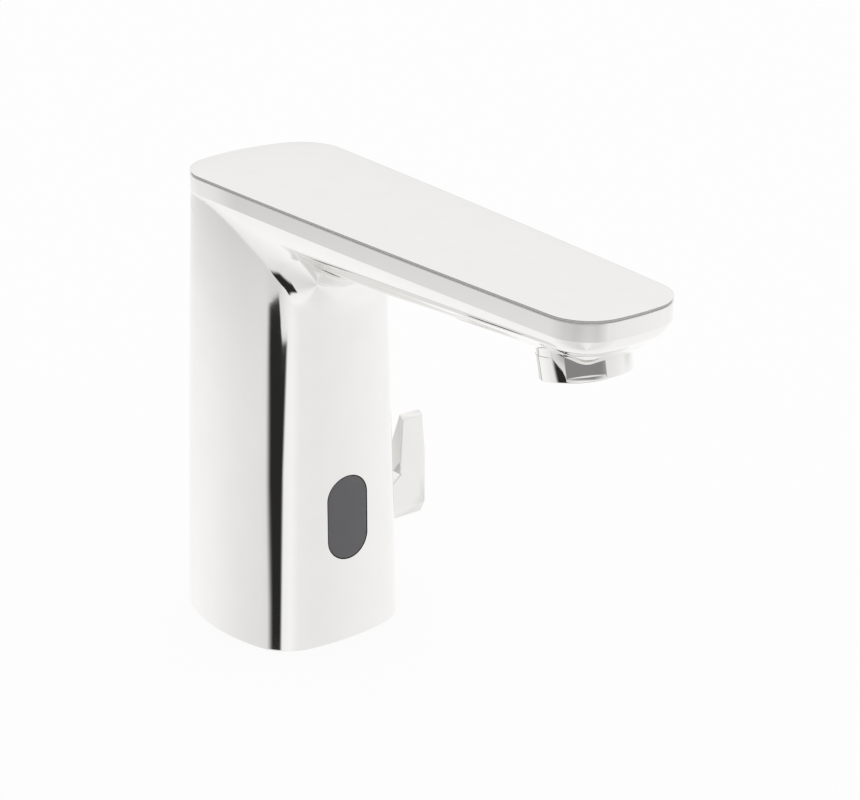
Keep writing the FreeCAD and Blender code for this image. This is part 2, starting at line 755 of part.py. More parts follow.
# ---------------------------------------------------------------- mixer cartridge
disc_radius = 8.2
fixed_disc_thickness = 2.6
disc_step = 1.4
step_angle = 80.0           # the turning disc's step reaches this far to either side of its top
turning_disc_thickness = 2.4
flange_thickness = 3.0
spindle_radius = 3.5
sleeve_wall = 1.3
sleeve_end = 15.5
nut_end = block_right + 1.5
disc_start = mixer_end + 0.1
turning_start = disc_start + fixed_disc_thickness
flange_start = turning_start + turning_disc_thickness
spindle_start = flange_start + flange_thickness


def along_x(x):
    return V(x, 0, lever_z)


def mixer_fixed_disc():
    disc = cylinder(disc_radius, along_x(disc_start), along_x(turning_start))
    for y in inlet_places():
        port = V(0, math.copysign(port_offset, y), lever_z + 1)
        disc = disc.cut(cylinder(disc_port, port + V(disc_start - 1, 0, 0), port + V(turning_start + 1, 0, 0)))
    return disc


def mixer_turning_disc():
    """Ceramic disc with a stepped rim that uncovers more of one port and less of the other."""
    disc = cylinder(disc_radius - 0.3, along_x(turning_start), along_x(flange_start))
    step = ring(disc_radius + 1, port_offset - disc_port - 0.2, along_x(turning_start - 1),
                along_x(turning_start + disc_step))
    spread = math.radians(step_angle)
    far = 3 * disc_radius
    tip = V(turning_start - 2, 0, lever_z)
    low = V(turning_start - 2, far * math.sin(spread), lever_z + far * math.cos(spread))
    up = V(turning_start - 2, 0, lever_z + far)
    wedge = prism([tip, low, V(low.x, low.y, up.z), V(low.x, -low.y, up.z), V(low.x, -low.y, low.z)], V(9, 0, 0))
    return disc.cut(step.common(wedge))


def mixer_spindle():
    flange = cylinder(disc_radius - 0.8, along_x(flange_start), along_x(spindle_start))
    shaft = cylinder(spindle_radius, along_x(flange_start), along_x(hub_start - 0.3))
    pin = cylinder(pin_radius, along_x(hub_start - 1), along_x(hub_start + spindle_bite))
    flat = block(hub_start - 0.2, hub_start + spindle_bite + 1, -5, 5, pin_flat_z, pin_flat_z + 5)
    groove = ring(spindle_radius + 1, seal_groove_radius, along_x(seal_start), along_x(seal_start + seal_width))
    return fused([flange, shaft, pin]).cut(flat).cut(groove)


spindle_bite = 8.0
pin_radius = 2.5            # end of the spindle, inside the lever
pin_flat_z = lever_z + 2.0
seal_start = 11.0
seal_width = 1.1
seal_groove_radius = 2.2
seal_cord = 1.0             # thickness of the O-ring


def mixer_sleeve():
    outer = cylinder(mixer_radius - fit, along_x(disc_start), along_x(sleeve_end))
    hollow = cylinder(disc_radius + fit, along_x(disc_start - 1), along_x(spindle_start + 0.2))
    bore = cylinder(spindle_radius + fit, along_x(0), along_x(sleeve_end + 1))
    return outer.cut(hollow).cut(bore).cut(rising_passage())


def spindle_seal():
    """O-ring in the spindle's groove."""
    middle = seal_start + seal_width / 2
    return Part.makeTorus(seal_groove_radius + seal_cord / 2 + 0.01, seal_cord / 2, along_x(middle), V(1, 0, 0))


def cartridge_nut():
    nut = cylinder(mixer_radius - fit, along_x(sleeve_end), along_x(nut_end))
    nut = nut.cut(cylinder(spindle_radius + 0.6, along_x(sleeve_end - 1), along_x(nut_end + 1)))
    for turn in (0, 90):
        slot = block(nut_end - 1.5, nut_end + 1, -mixer_radius, mixer_radius, lever_z - 1, lever_z + 1)
        slot.rotate(along_x(0), V(1, 0, 0), turn)
        nut = nut.cut(slot)
    return nut


def lever_ring():
    """Domed ring that covers the mixer's opening in the casting."""
    side = column_at(lever_z)
    face_x = (side.half_back + side.half_front) / 2 + side.bow_side
    start = nut_end + 1.0
    end = face_x + lever_ring_proud
    plug = cylinder(lever_ring_radius - 1.0, along_x(start), along_x(end))
    flange = Part.makeCone(lever_ring_radius - 1.0, lever_ring_radius - 3.0, 1.0, along_x(end - 1.0), V(1, 0, 0))
    plug = plug.cut(cylinder(lever_ring_radius, along_x(end - 1.0), along_x(end + 1))).fuse(flange)
    hollow = cylinder(lever_ring_radius - 3.0, along_x(start - 1), along_x(end - 2.4))
    return plug.cut(hollow).cut(cylinder(spindle_radius + 0.3, along_x(start), along_x(end + 1)))


# ---------------------------------------------------------------- lever
lever_screw_radius = 1.5
lever_screw_x = hub_start + 4.2
pin_play = 0.02


def temperature_lever():
    half = lever_depth / 2
    bottom = lever_z - hub_height / 2
    hub_top = lever_z + hub_height / 2
    inner_foot = lever_outer - paddle_foot_width
    inner_top = lever_outer - 1.2 - paddle_top_width
    front_view = [V(hub_start, -half, bottom), V(lever_outer - 1.8, -half, bottom), V(lever_outer, -half, bottom + 3.4),
                  V(lever_outer, -half, lever_z + 16), V(lever_outer - 1.2, -half, paddle_top),
                  V(inner_top, -half, paddle_top), V(inner_foot + 0.8, -half, gusset_top),
                  V(hub_start, -half, hub_top)]
    side_view = [V(hub_start, -half, bottom), V(hub_start, -half, paddle_top - paddle_bevel),
                 V(hub_start, -half + paddle_top_depth, paddle_top), V(hub_start, half, gusset_top),
                 V(hub_start, half, bottom)]
    lever = prism(front_view, V(0, lever_depth, 0)).common(prism(side_view, V(lever_outer, 0, 0)))
    rounded = []
    for edge in lever.Edges:
        span = edge.BoundBox
        if span.XMin > hub_start + 0.1 or span.XMax - span.XMin > 1:
            rounded.append(edge)
    lever = lever.makeFillet(0.5, rounded)
    bore = cylinder(pin_radius + pin_play, along_x(hub_start - 1), along_x(hub_start + spindle_bite + 0.2))
    flat = block(hub_start - 2, hub_start + spindle_bite + 1, -5, 5, pin_flat_z + pin_play, pin_flat_z + 5)
    lever = lever.cut(bore.cut(flat))
    hole = cylinder(lever_screw_radius, V(lever_screw_x, 0, bottom - 1), V(lever_screw_x, 0, lever_z))
    return lever.cut(hole)


def lever_screw():
    """Grub screw that clamps the lever on the spindle, from below."""
    low = lever_z - hub_height / 2 + 0.1
    high = lever_z - pin_radius - pin_play
    grub = cylinder(lever_screw_radius - fit, V(lever_screw_x, 0, low), V(lever_screw_x, 0, high))
    return grub.cut(hexagon_prism(lever_screw_radius, V(lever_screw_x, 0, low - 0.1), V(lever_screw_x, 0, low + 0.9)))


# ---------------------------------------------------------------- solenoid valve
bonnet_screw_radius = 1.25
bonnet_screw_ring = 13.0
bonnet_screw_bite = 4.4


def bonnet_screw_places():
    places = []
    for angle in (50, 130, 235, 305):
        a = math.radians(angle)
        places.append((bonnet_screw_ring * math.cos(a), valve_y + bonnet_screw_ring * math.sin(a)))
    return places


def valve_at(z):
    return V(0, valve_y, z)


diaphragm_low = deck_top
bonnet_low = deck_top + diaphragm_thickness
bonnet_top = bonnet_low + bonnet_height
plunger_low = bonnet_low + 1.4
plunger_top = plunger_low + plunger_length
core_tube_top = bonnet_low + core_tube_height
tube_inner = core_tube_radius - core_tube_wall
coil_low = bonnet_top + 1.6
coil_top = coil_low + coil_height
yoke_top = coil_top + 1.6
core_low = plunger_top + plunger_travel + 0.15


def diaphragm():
    disc = cylinder(chamber_radius, valve_at(diaphragm_low), valve_at(bonnet_low))
    pad = cylinder(seat_radius + 0.6, valve_at(deck_top - 0.8), valve_at(diaphragm_low + 0.5))
    pilot = cylinder(0.7, valve_at(deck_top - 2), valve_at(bonnet_low + 1))
    return fused([disc, pad]).cut(pilot)


def valve_bonnet():
    """Plastic bonnet over the diaphragm, with the tube that guides the plunger."""
    flange = cylinder(deck_radius, valve_at(bonnet_low), valve_at(bonnet_top))
    rim = ring(deck_radius, chamber_radius + fit, valve_at(deck_top), valve_at(bonnet_low))
    tube = cylinder(core_tube_radius, valve_at(bonnet_low), valve_at(core_tube_top))
    clear = block(-tube_radius - 0.4, tube_radius + 0.4, tube_y - tube_radius - 9, tube_y + tube_radius + 0.4,
                  deck_top - 1, bonnet_top + 1)
    bonnet = fused([flange, rim, tube]).cut(clear)
    bonnet = bonnet.cut(cylinder(tube_inner, valve_at(bonnet_low), valve_at(core_tube_top + 1)))
    for x, y in bonnet_screw_places():
        bonnet = bonnet.cut(cylinder(bonnet_screw_radius + 0.2, V(x, y, deck_top - 1), V(x, y, bonnet_top + 1)))
    return bonnet


def bonnet_screws():
    screws = []
    for x, y in bonnet_screw_places():
        screws.append(screw(bonnet_screw_radius - fit, 2.1, 1.3, V(x, y, bonnet_top), V(x, y, deck_top - bonnet_screw_bite)))
    return Part.makeCompound(screws)


def plunger():
    body = cylinder(plunger_radius, valve_at(plunger_low), valve_at(plunger_top))
    well = cylinder(2.3, valve_at(plunger_top - 5), valve_at(plunger_top + 1))
    tip = Part.makeCone(0.6, 1.6, 1.1, valve_at(plunger_low - 1.1), V(0, 0, 1))
    return fused([body.cut(well), tip])


def plunger_spring():
    return coil_spring(2.1, 0.5, 5, plunger_top - 5, core_low + 1.5, 0, valve_y)


def fixed_core():
    core = cylinder(tube_inner - fit, valve_at(core_low), valve_at(core_tube_top))
    cap = cylinder(core_tube_radius, valve_at(core_tube_top), valve_at(yoke_top))
    well = cylinder(2.3, valve_at(core_low - 1), valve_at(core_low + 1.5))
    return fused([core, cap]).cut(well)


def solenoid_coil():
    """Moulded coil with its two terminals."""
    low = coil_low
    body = ring(coil_radius, core_tube_radius + fit, valve_at(low), valve_at(coil_top))
    tags = []
    for side in (-1, 1):
        tags.append(block(side * 3 - 0.4, side * 3 + 0.4, valve_y + coil_radius - 1, valve_y + coil_radius + 3,
                          coil_top - 6, coil_top - 4))
    shoe = block(-5, 5, valve_y + coil_radius - 3, valve_y + coil_radius + 1, coil_top - 8, coil_top - 2)
    shoe = shoe.cut(cylinder(core_tube_radius + fit, valve_at(low), valve_at(coil_top)))
    return fused([body, shoe] + tags)


def solenoid_yoke():
    """Bent steel strap that closes the coil's magnetic path."""
    half = coil_radius + 0.2
    strap = 1.6
    depth = 7.0
    outer = block(-half - strap, half + strap, valve_y - depth, valve_y + depth, bonnet_top, yoke_top)
    inner = block(-half, half, valve_y - depth - 1, valve_y + depth + 1, coil_low, coil_top)
    return outer.cut(inner).cut(cylinder(core_tube_radius + fit, valve_at(bonnet_top - 1), valve_at(yoke_top + 1)))


# ---------------------------------------------------------------- spout tube
def tube_path():
    """Up the column, forward along the arm and down into the tip."""
    start = V(0, tube_y, deck_top - tube_socket_depth + 0.2)
    knee = V(0, tube_y, tube_z)
    tip = V(0, tube_end_y, tube_z)
    end = V(0, tube_end_y, tube_end_z())
    diag = math.sqrt(0.5)
    r1 = tube_bend
    r2 = tip_bend
    c1 = V(0, tube_y - r1, tube_z - r1)
    c2 = V(0, tube_end_y + r2, tube_z - r2)
    edges = [Part.LineSegment(start, V(0, tube_y, tube_z - r1)).toShape(),
             Part.Arc(V(0, tube_y, tube_z - r1), c1 + V(0, r1 * diag, r1 * diag), V(0, tube_y - r1, tube_z)).toShape(),
             Part.LineSegment(V(0, tube_y - r1, tube_z), V(0, tube_end_y + r2, tube_z)).toShape(),
             Part.Arc(V(0, tube_end_y + r2, tube_z), c2 + V(0, -r2 * diag, r2 * diag),
                      V(0, tube_end_y, tube_z - r2)).toShape(),
             Part.LineSegment(V(0, tube_end_y, tube_z - r2), end).toShape()]
    return Part.Wire(edges), start


tube_seal_cord = 1.0


def tube_seal_places():
    return ((tube_y, deck_top - 2.2), (tube_end_y, tube_end_z() + 0.8))


def tube_seal_grooves():
    half = tube_seal_cord / 2 + 0.05
    outer = tube_radius + tube_seal_cord + 0.05
    return [cylinder(outer, V(0, y, z - half), V(0, y, z + half)) for y, z in tube_seal_places()]


def tube_end_z():
    return on_outlet(outlet_bore_top).z + 0.8


def spout_tube():
    path, start = tube_path()
    outer = path.makePipeShell([Part.Wire(Part.makeCircle(tube_radius, start))], True, False)
    inner = path.makePipeShell([Part.Wire(Part.makeCircle(tube_radius - tube_wall, start))], True, False)
    return outer.cut(inner)


def tube_seals():
    """O-rings round both ends of the tube, in the valve block's socket and in the arm's tip."""
    seals = []
    for y, z in tube_seal_places():
        seals.append(Part.makeTorus(tube_radius + tube_seal_cord / 2 + 0.01, tube_seal_cord / 2, V(0, y, z), V(0, 0, 1)))
    return Part.makeCompound(seals)


# ---------------------------------------------------------------- aerator
def aerator_housing():
    collar = outlet_cylinder(collar_radius, 0, collar_height)
    thread = outlet_cylinder(thread_radius, collar_height, thread_end)
    housing = fused([collar, thread])
    for turn in (0, 180):
        cut = block(-collar_radius, collar_radius, -collar_radius - 5, -flats_width / 2, ledge_height,
                    collar_height + 0.1 - 0.1)
        cut.rotate(V(0, 0, 0), V(0, 0, 1), turn - flats_angle)
        cut.rotate(V(0, 0, 0), V(1, 0, 0), -outlet_tilt)
        cut.translate(outlet_point)
        housing = housing.cut(cut)
    housing = housing.cut(outlet_cylinder(insert_radius + fit, insert_seat, thread_end + 1))
    return housing.cut(outlet_cylinder(nozzle_radius + fit, -1, insert_seat + 1))


insert_radius = 9.6
nozzle_radius = 8.4
insert_seat = 1.6
screen_thickness = 0.5


def jet_holes(form, radius, low, high, rings, pitch):
    """Rings of round holes through a disc on the outlet's axis."""
    side = V(1, 0, 0)
    forward = outlet_up.cross(side)
    for row in range(1, rings + 1):
        for i in range(6 * row):
            a = 2 * math.pi * i / (6 * row)
            shift = side * (pitch * row * math.cos(a)) + forward * (pitch * row * math.sin(a))
            form = form.cut(cylinder(radius, on_outlet(low) + shift, on_outlet(high) + shift))
    return form.cut(outlet_cylinder(radius, low, high))


def aerator_insert():
    nozzle = outlet_cylinder(nozzle_radius, -insert_lip, insert_seat + 0.5)
    cup = outlet_cylinder(insert_radius, insert_seat, thread_end - screen_thickness)
    insert = fused([nozzle, cup])
    insert = insert.cut(outlet_cylinder(insert_radius - 1.2, insert_seat + 1.4, thread_end))
    insert = insert.cut(outlet_cylinder(nozzle_radius - 1.0, -insert_lip - 1, 0.2))
    return jet_holes(insert, 0.75, 0, insert_seat + 2, 3, 2.1)


def aerator_screen():
    disc = outlet_cylinder(insert_radius, thread_end - screen_thickness, thread_end)
    return jet_holes(disc, 0.55, thread_end - 2, thread_end + 1, 4, 1.9)


def aerator_seal():
    low = thread_end
    return outlet_cylinder(thread_radius - fit, low, low + outlet_seal_height).cut(
        outlet_cylinder(insert_radius - 1.4, low - 1, low + 3))


# ---------------------------------------------------------------- output
form = outer_form()
nodes = {
    "body_casting": body_casting(form),
    "top_cover": top_cover(),
    "cover_gasket": cover_gasket(),
    "cover_grub_screw": cover_grub_screw(),
    "sensor_window": sensor_window(form),
    "window_gasket": window_gasket(),
    "sensor_housing": sensor_housing(),
    "sensor_board": sensor_board(),
    "infrared_emitter": infrared_diode(window_z + led_spread),
    "infrared_receiver": infrared_diode(window_z - led_spread),
    "sensor_screws": sensor_screws(),
    "control_module": control_module(),
    "battery": battery(),
    "battery_cradle": battery_cradle(),
    "battery_contacts": battery_contacts(),
    "base_gasket": base_gasket(),
    "mounting_plate": mounting_plate(),
    "plate_screws": plate_screws(),
    "valve_block": valve_block(),
    "mixer_sleeve": mixer_sleeve(),
    "mixer_fixed_disc": mixer_fixed_disc(),
    "mixer_turning_disc": mixer_turning_disc(),
    "mixer_spindle": mixer_spindle(),
    "spindle_seal": spindle_seal(),
    "cartridge_nut": cartridge_nut(),
    "lever_ring": lever_ring(),
    "temperature_lever": temperature_lever(),
    "lever_screw": lever_screw(),
    "diaphragm": diaphragm(),
    "valve_bonnet": valve_bonnet(),
    "bonnet_screws": bonnet_screws(),
    "plunger": plunger(),
    "plunger_spring": plunger_spring(),
    "fixed_core": fixed_core(),
    "solenoid_coil": solenoid_coil(),
    "solenoid_yoke": solenoid_yoke(),
    "spout_tube": spout_tube(),
    "tube_seals": tube_seals(),
    "aerator_housing": aerator_housing(),
    "aerator_insert": aerator_insert(),
    "aerator_screen": aerator_screen(),
    "aerator_seal": aerator_seal(),
}
for name, y in zip(("hot", "cold"), inlet_places()):
    nodes[name + "_strainer"] = strainer(y)
    nodes[name + "_check_seat"] = check_seat(y)
    nodes[name + "_check_poppet"] = check_poppet(y)
    nodes[name + "_check_spring"] = check_spring(y)

for name, shape in nodes.items():
    shape.exportStep("parts/" + name + ".step")
    box = shape.BoundBox
    print(name, "solids", len(shape.Solids), "valid", shape.isValid(), "volume", round(shape.Volume, 1),
          "box", [round(value, 1) for value in (box.XMin, box.XMax, box.YMin, box.YMax, box.ZMin, box.ZMax)])
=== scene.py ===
import math

import bmesh
import bpy
import numpy as np
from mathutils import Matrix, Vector


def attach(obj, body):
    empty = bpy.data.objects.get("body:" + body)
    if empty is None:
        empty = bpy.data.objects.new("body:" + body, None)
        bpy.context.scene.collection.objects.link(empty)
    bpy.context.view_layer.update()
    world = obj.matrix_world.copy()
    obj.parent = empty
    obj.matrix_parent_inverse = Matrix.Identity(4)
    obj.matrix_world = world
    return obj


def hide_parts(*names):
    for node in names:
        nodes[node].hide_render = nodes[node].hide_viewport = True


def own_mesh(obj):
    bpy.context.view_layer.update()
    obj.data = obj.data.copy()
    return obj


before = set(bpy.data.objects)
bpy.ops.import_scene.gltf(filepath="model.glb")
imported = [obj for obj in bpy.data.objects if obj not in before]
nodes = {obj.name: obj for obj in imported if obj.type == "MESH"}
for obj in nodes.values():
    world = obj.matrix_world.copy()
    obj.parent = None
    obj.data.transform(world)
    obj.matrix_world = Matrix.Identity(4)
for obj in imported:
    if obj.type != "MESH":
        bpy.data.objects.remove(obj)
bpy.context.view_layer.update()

# ------------------------------------------------------------------ body casting
# The tap's column and arm, one hollow brass casting with walls about 3 mm thick.
# Its outside is ground, polished to a mirror and chrome plated; the inside stays as it was cast.
# The arm's underside runs down into the column in one hollow round, with no joint line.
HEAD = dict(half_back=24.7, y_back=17.0, bow_back=6.2, half_front=17.4, y_front=-149.8,
            bow_front=2.2, bow_side=0.9, round_back=14.4, round_front=12.3)
FOOT = dict(half_back=25.1, y_back=22.1, bow_back=6.9, half_front=21.5, y_front=-26.0,
            bow_front=3.4, bow_side=5.3, round_back=9.0, round_front=15.4)
NECK = dict(HEAD, half_front=18.3, y_front=-27.0, bow_front=3.0, bow_side=1.6, round_front=12.0)
CREASE_Z = 134.3        # lower edge of the upright band
RIM_Z = 139.0           # open top of the casting
FLANK_INSET = 5.2       # how far the arm's flank leans in below the band
FLANK_START = 2.3       # it starts this much steeper than its mean slope, and rounds in at its lower edge
EDGE_DROP = 10.1        # from the band to the arm's lower edge, over the foot
EDGE_RISE = math.tan(math.radians(1.7))
KEEL_RADIUS = 20.0
KEEL_START = math.radians(44.0)
NECK_ROUND = 16.0       # hollow round between the column and the arm's underside
BACK_ROUND = 4.0        # the same where flank and column meet at the back
WALL = 3.2
RIM_WALL = 2.6
UNDER_HEAD = 0.05       # below the band the column may stand out past the head by this share of the depth
BAND_LEAN = -0.046      # the band's mirror turns this little upwards, where the buffing wheel ran along it
AXIS_Y = -2.0           # the column is measured from this upright line


def outline_slope(x, y, shape):
    """Distance in mm from the outline, negative inside it, and which way it grows.
    The outline has four bowed sides and four round corners. Its sizes may be arrays, one for each point."""
    side_of = np.where(x < 0, -1.0, 1.0)
    x = np.abs(x)
    hb, yb, hf, yf = (shape[k] for k in ("half_back", "y_back", "half_front", "y_front"))
    back_r = (hb ** 2 + shape["bow_back"] ** 2) / (2 * shape["bow_back"])
    back_y = yb + shape["bow_back"] - back_r
    front_r = (hf ** 2 + shape["bow_front"] ** 2) / (2 * shape["bow_front"])
    front_y = yf - shape["bow_front"] + front_r
    run_x, run_y = hb - hf, yb - yf
    run = np.hypot(run_x, run_y)
    side_r = (run ** 2 / 4 + shape["bow_side"] ** 2) / (2 * shape["bow_side"])
    side_x = (hb + hf) / 2 + run_y / run * (shape["bow_side"] - side_r)
    side_y = (yb + yf) / 2 - run_x / run * (shape["bow_side"] - side_r)

    def arc(centre_x, centre_y, radius):
        """The same two answers for one circle."""
        away = np.hypot(x - centre_x, y - centre_y) + 1e-12
        return away - radius, (x - centre_x) / away, (y - centre_y) / away

    distance, gx, gy = arc(side_x, side_y, side_r)
    for end_y, end_r, turn in ((back_y, back_r, 1), (front_y, front_r, -1)):
        d, u, v = arc(0.0, end_y, end_r)
        use = ((y - end_y) * turn > 0) & (d > distance)
        distance, gx, gy = (np.where(use, new, old) for new, old in ((d, distance), (u, gx), (v, gy)))
    # each corner's round touches its side and its end from within
    for end_y, end_r, corner, turn in ((back_y, back_r, shape["round_back"], 1),
                                       (front_y, front_r, shape["round_front"], -1)):
        p, q = end_r - corner, side_r - corner
        gap_x, gap_y = side_x, side_y - end_y
        gap = np.hypot(gap_x, gap_y)
        along = (p * p - q * q + gap * gap) / (2 * gap)
        aside = np.sqrt(np.maximum(p * p - along * along, 1e-9))
        centres = [((gap_x * along - sign * gap_y * aside) / gap,
                    end_y + (gap_y * along + sign * gap_x * aside) / gap) for sign in (1, -1)]
        near = (hb, yb) if turn > 0 else (hf, yf)
        first = np.hypot(centres[0][0] - near[0], centres[0][1] - near[1])
        second = np.hypot(centres[1][0] - near[0], centres[1][1] - near[1])
        cx = np.where(first < second, centres[0][0], centres[1][0])
        cy = np.where(first < second, centres[0][1], centres[1][1])
        vx, vy = x - cx, y - cy
        past_side = ((cx - side_x) * vy - (cy - side_y) * vx) * turn > 0
        before_end = (vx * (cy - end_y) - vy * cx) * turn > 0
        d, u, v = arc(cx, cy, corner)
        use = past_side & before_end
        distance, gx, gy = (np.where(use, new, old) for new, old in ((d, distance), (u, gx), (v, gy)))
    return distance, gx * side_of, gy


def outline_distance(x, y, shape):
    """The distance alone."""
    return outline_slope(x, y, shape)[0]


def smooth(low, high, value):
    """Rises gently from 0 at low to 1 at high."""
    t = np.clip((value - low) / (high - low), 0, 1)
    return t * t * (3 - 2 * t)


def column_shape(z):
    """The column's outline at height z."""
    share = np.clip(z / CREASE_Z, -0.1, 1.0)
    return {k: FOOT[k] + (NECK[k] - FOOT[k]) * share for k in FOOT}


def casting_field(x, y, z):
    """Below zero inside the casting's outer form, and about the distance in mm near its surface."""
    head, head_x, head_y = outline_slope(x, y, HEAD)
    column, column_x, column_y = outline_slope(x, y, column_shape(z))
    inset = np.maximum(-head, 0)
    drop = EDGE_DROP + y * EDGE_RISE
    # the arm below the band: a keel of one radius, and a flank that runs into it as a cubic
    cosine = np.clip(math.cos(KEEL_START) - (inset - FLANK_INSET) / KEEL_RADIUS, 0, math.cos(KEEL_START))
    sine = np.sqrt(1 - cosine ** 2)
    keel = drop + KEEL_RADIUS * (sine - math.sin(KEEL_START))
    on_flank = inset < FLANK_INSET
    t = np.clip(inset / FLANK_INSET, 0, 1)
    last = FLANK_INSET / drop / math.tan(KEEL_START)
    fall = (t ** 3 - 2 * t ** 2 + t) * FLANK_START + 3 * t ** 2 - 2 * t ** 3 + (t ** 3 - t ** 2) * last
    steep = (3 * t ** 2 - 4 * t + 1) * FLANK_START + 6 * t * (1 - t) + (3 * t ** 2 - 2 * t) * last
    lean = np.where(on_flank, 1 / np.hypot(1, steep * drop / FLANK_INSET), sine)
    low = CREASE_Z - np.where(on_flank, drop * fall, keel)
    arm = (low - z) * lean
    # the hollow round between arm and column, for whatever angle they meet at
    alike = np.clip((head_x * column_x + head_y * column_y) * np.sqrt(1 - lean ** 2), -0.9, 0.985)
    hollow = BACK_ROUND + (NECK_ROUND - BACK_ROUND) * smooth(10, -20, y)    # opens towards the front
    u, v = hollow - column, hollow - arm
    rounded = hollow - np.sqrt((u * u - 2 * alike * u * v + v * v) / (1 - alike * alike))
    in_round = (u > 0) & (v > 0) & (u > alike * v) & (v > alike * u)
    joined = np.where(in_round, rounded, np.minimum(column, arm))
    return np.maximum(joined, head - UNDER_HEAD * (CREASE_Z - z))


def narrow(outside, low, high, rounds=44):
    """Halves the way between low, inside the form, and high, outside it, until it is at the form's edge."""
    for _ in range(rounds):
        mid = (low + high) / 2
        out = outside(mid)
        high = np.where(out, mid, high)
        low = np.where(out, low, mid)
    return high


def cast_rays(start, direction, reach=45.0, level=0.0):
    """Where rays from inside first meet the outer form."""
    steps = np.linspace(0, reach, 61)
    low = np.zeros(len(start))
    high = np.full(len(start), reach)
    found = np.zeros(len(start), bool)

    def outside(out):
        """Whether a ray has left the form after this length."""
        p = start + direction * np.reshape(out, (-1, 1))
        return casting_field(p[:, 0], p[:, 1], p[:, 2]) > level

    for near, far in zip(steps, steps[1:]):
        out = outside(far) & ~found
        low[out], high[out] = near, far
        found |= out
    return start + direction * narrow(outside, low, high, 34)[:, None]


def head_width(y, inset=0.0):
    """Half width at y of the head's outline, moved inwards by inset."""
    y = np.asarray(y, float)
    return narrow(lambda x: outline_distance(x, y, HEAD) > -inset, np.zeros_like(y), np.full_like(y, 40.0))


TIP_Y = -138.0          # the tip turns round this upright line
PIVOT_Y, PIVOT_Z = -46.0, 103.0
TO_EDGE, TO_CREASE = 30, 20     # steps from the middle of the underside to its edge, and on to the band
HALF = TO_EDGE + TO_CREASE
LAST_EDGE_Y = -16.0     # further back, the column hides the arm's lower edge
# rows of the mesh along the arm, round its turn into the column, over the back, down the column
# and round the tip
ARM_ROWS, TURN_ROWS, BACK_ROWS, COLUMN_ROWS, TIP_ROWS = 63, 66, 21, 43, 44


def spread(edge, end):
    """Angles from the middle (0) through the arm's lower edge to the end, for one row."""
    return np.concatenate([np.linspace(0, edge, TO_EDGE + 1), np.linspace(edge, end, TO_CREASE + 1)[1:]])


casting_verts, casting_faces, casting_rows = [], [], []


def keep_points(points):
    """Adds points to the casting and gives their numbers."""
    start = len(casting_verts)
    casting_verts.extend(map(tuple, points))
    return list(range(start, start + len(points)))


def half_to_row(right, share_ends):
    """Indices of a whole row from its right half, which runs from the middle to the band."""
    left = right[1:].copy()
    left[:, 0] *= -1
    r = keep_points(right)
    m = keep_points(left)
    if share_ends:
        m[-1] = r[-1]
    return m[::-1] + r


# upright rows across the arm, from the tip to the hollow round
for y in np.linspace(TIP_Y, PIVOT_Y, ARM_ROWS + 1)[:-1]:
    edge = math.atan2(float(head_width(y, FLANK_INSET)), EDGE_DROP + y * EDGE_RISE)
    angle = spread(edge, math.pi / 2)
    direction = np.stack([np.sin(angle), 0 * angle, -np.cos(angle)], 1)
    start = np.tile([0.0, y, CREASE_Z], (len(angle), 1))
    right = cast_rays(start, direction)
    right[-1] = (float(head_width(y)), y, CREASE_Z)
    casting_rows.append(half_to_row(right, False))

# rows that turn about the pivot, from upright to level
back_y = HEAD["y_back"] + HEAD["bow_back"]
walk_y = PIVOT_Y + (back_y - PIVOT_Y) * np.sin(np.linspace(0, math.pi / 2, 4001))
walk_x = head_width(np.minimum(walk_y, back_y - 1e-7))
walk_x[-1] = 0.0
walked = np.concatenate([[0], np.cumsum(np.hypot(np.diff(walk_x), np.diff(walk_y)))])
crease_y = np.interp(np.linspace(0, walked[-1], TURN_ROWS), walked, walk_y)
crease_x = np.interp(np.linspace(0, walked[-1], TURN_ROWS), walked, walk_x)
turns = [(math.atan2(y - PIVOT_Y, CREASE_Z - PIVOT_Z), x, y) for x, y in zip(crease_x, crease_y)]
last_turn = turns[-1][0]
turns += [(t, None, None) for t in np.linspace(last_turn, math.pi / 2, BACK_ROWS + 1)[1:]]
kept_share = 0.5        # how far round the row the arm's lower edge lies, kept once the column hides it
for turn, x_end, y_end in turns:
    up = np.array([0.0, math.sin(turn), math.cos(turn)])
    to_crease = (CREASE_Z - PIVOT_Z) / max(math.cos(turn), 1e-9)
    to_column = (AXIS_Y - PIVOT_Y) / max(math.sin(turn), 1e-9)
    out = min(to_crease, to_column)
    centre = np.array([0.0, PIVOT_Y, PIVOT_Z]) + up * out
    if x_end is None:
        end = math.pi
    else:
        end = math.pi / 2 + math.atan2(to_crease - out, max(x_end, 1e-9))
    slope = math.tan(turn) if turn < 1.5 else 1e3
    edge_y = (PIVOT_Y + slope * (CREASE_Z - EDGE_DROP - PIVOT_Z)) / (1 + EDGE_RISE * slope)
    if edge_y < LAST_EDGE_Y:
        edge_z = CREASE_Z - EDGE_DROP - edge_y * EDGE_RISE
        edge_out = math.hypot(edge_y - PIVOT_Y, edge_z - PIVOT_Z)
        edge = math.atan2(float(head_width(edge_y, FLANK_INSET)), out - edge_out)
        kept_share = edge / end
    angle = spread(end * kept_share, end)
    direction = np.sin(angle)[:, None] * np.array([1.0, 0, 0]) - np.cos(angle)[:, None] * up
    right = cast_rays(np.tile(centre, (len(angle), 1)), direction)
    right[0, 0] = 0.0
    if x_end is None:
        right[-1, 0] = 0.0
    else:
        right[-1] = (x_end, y_end, CREASE_Z)
    casting_rows.append(half_to_row(right, x_end is None or x_end < 1e-6))

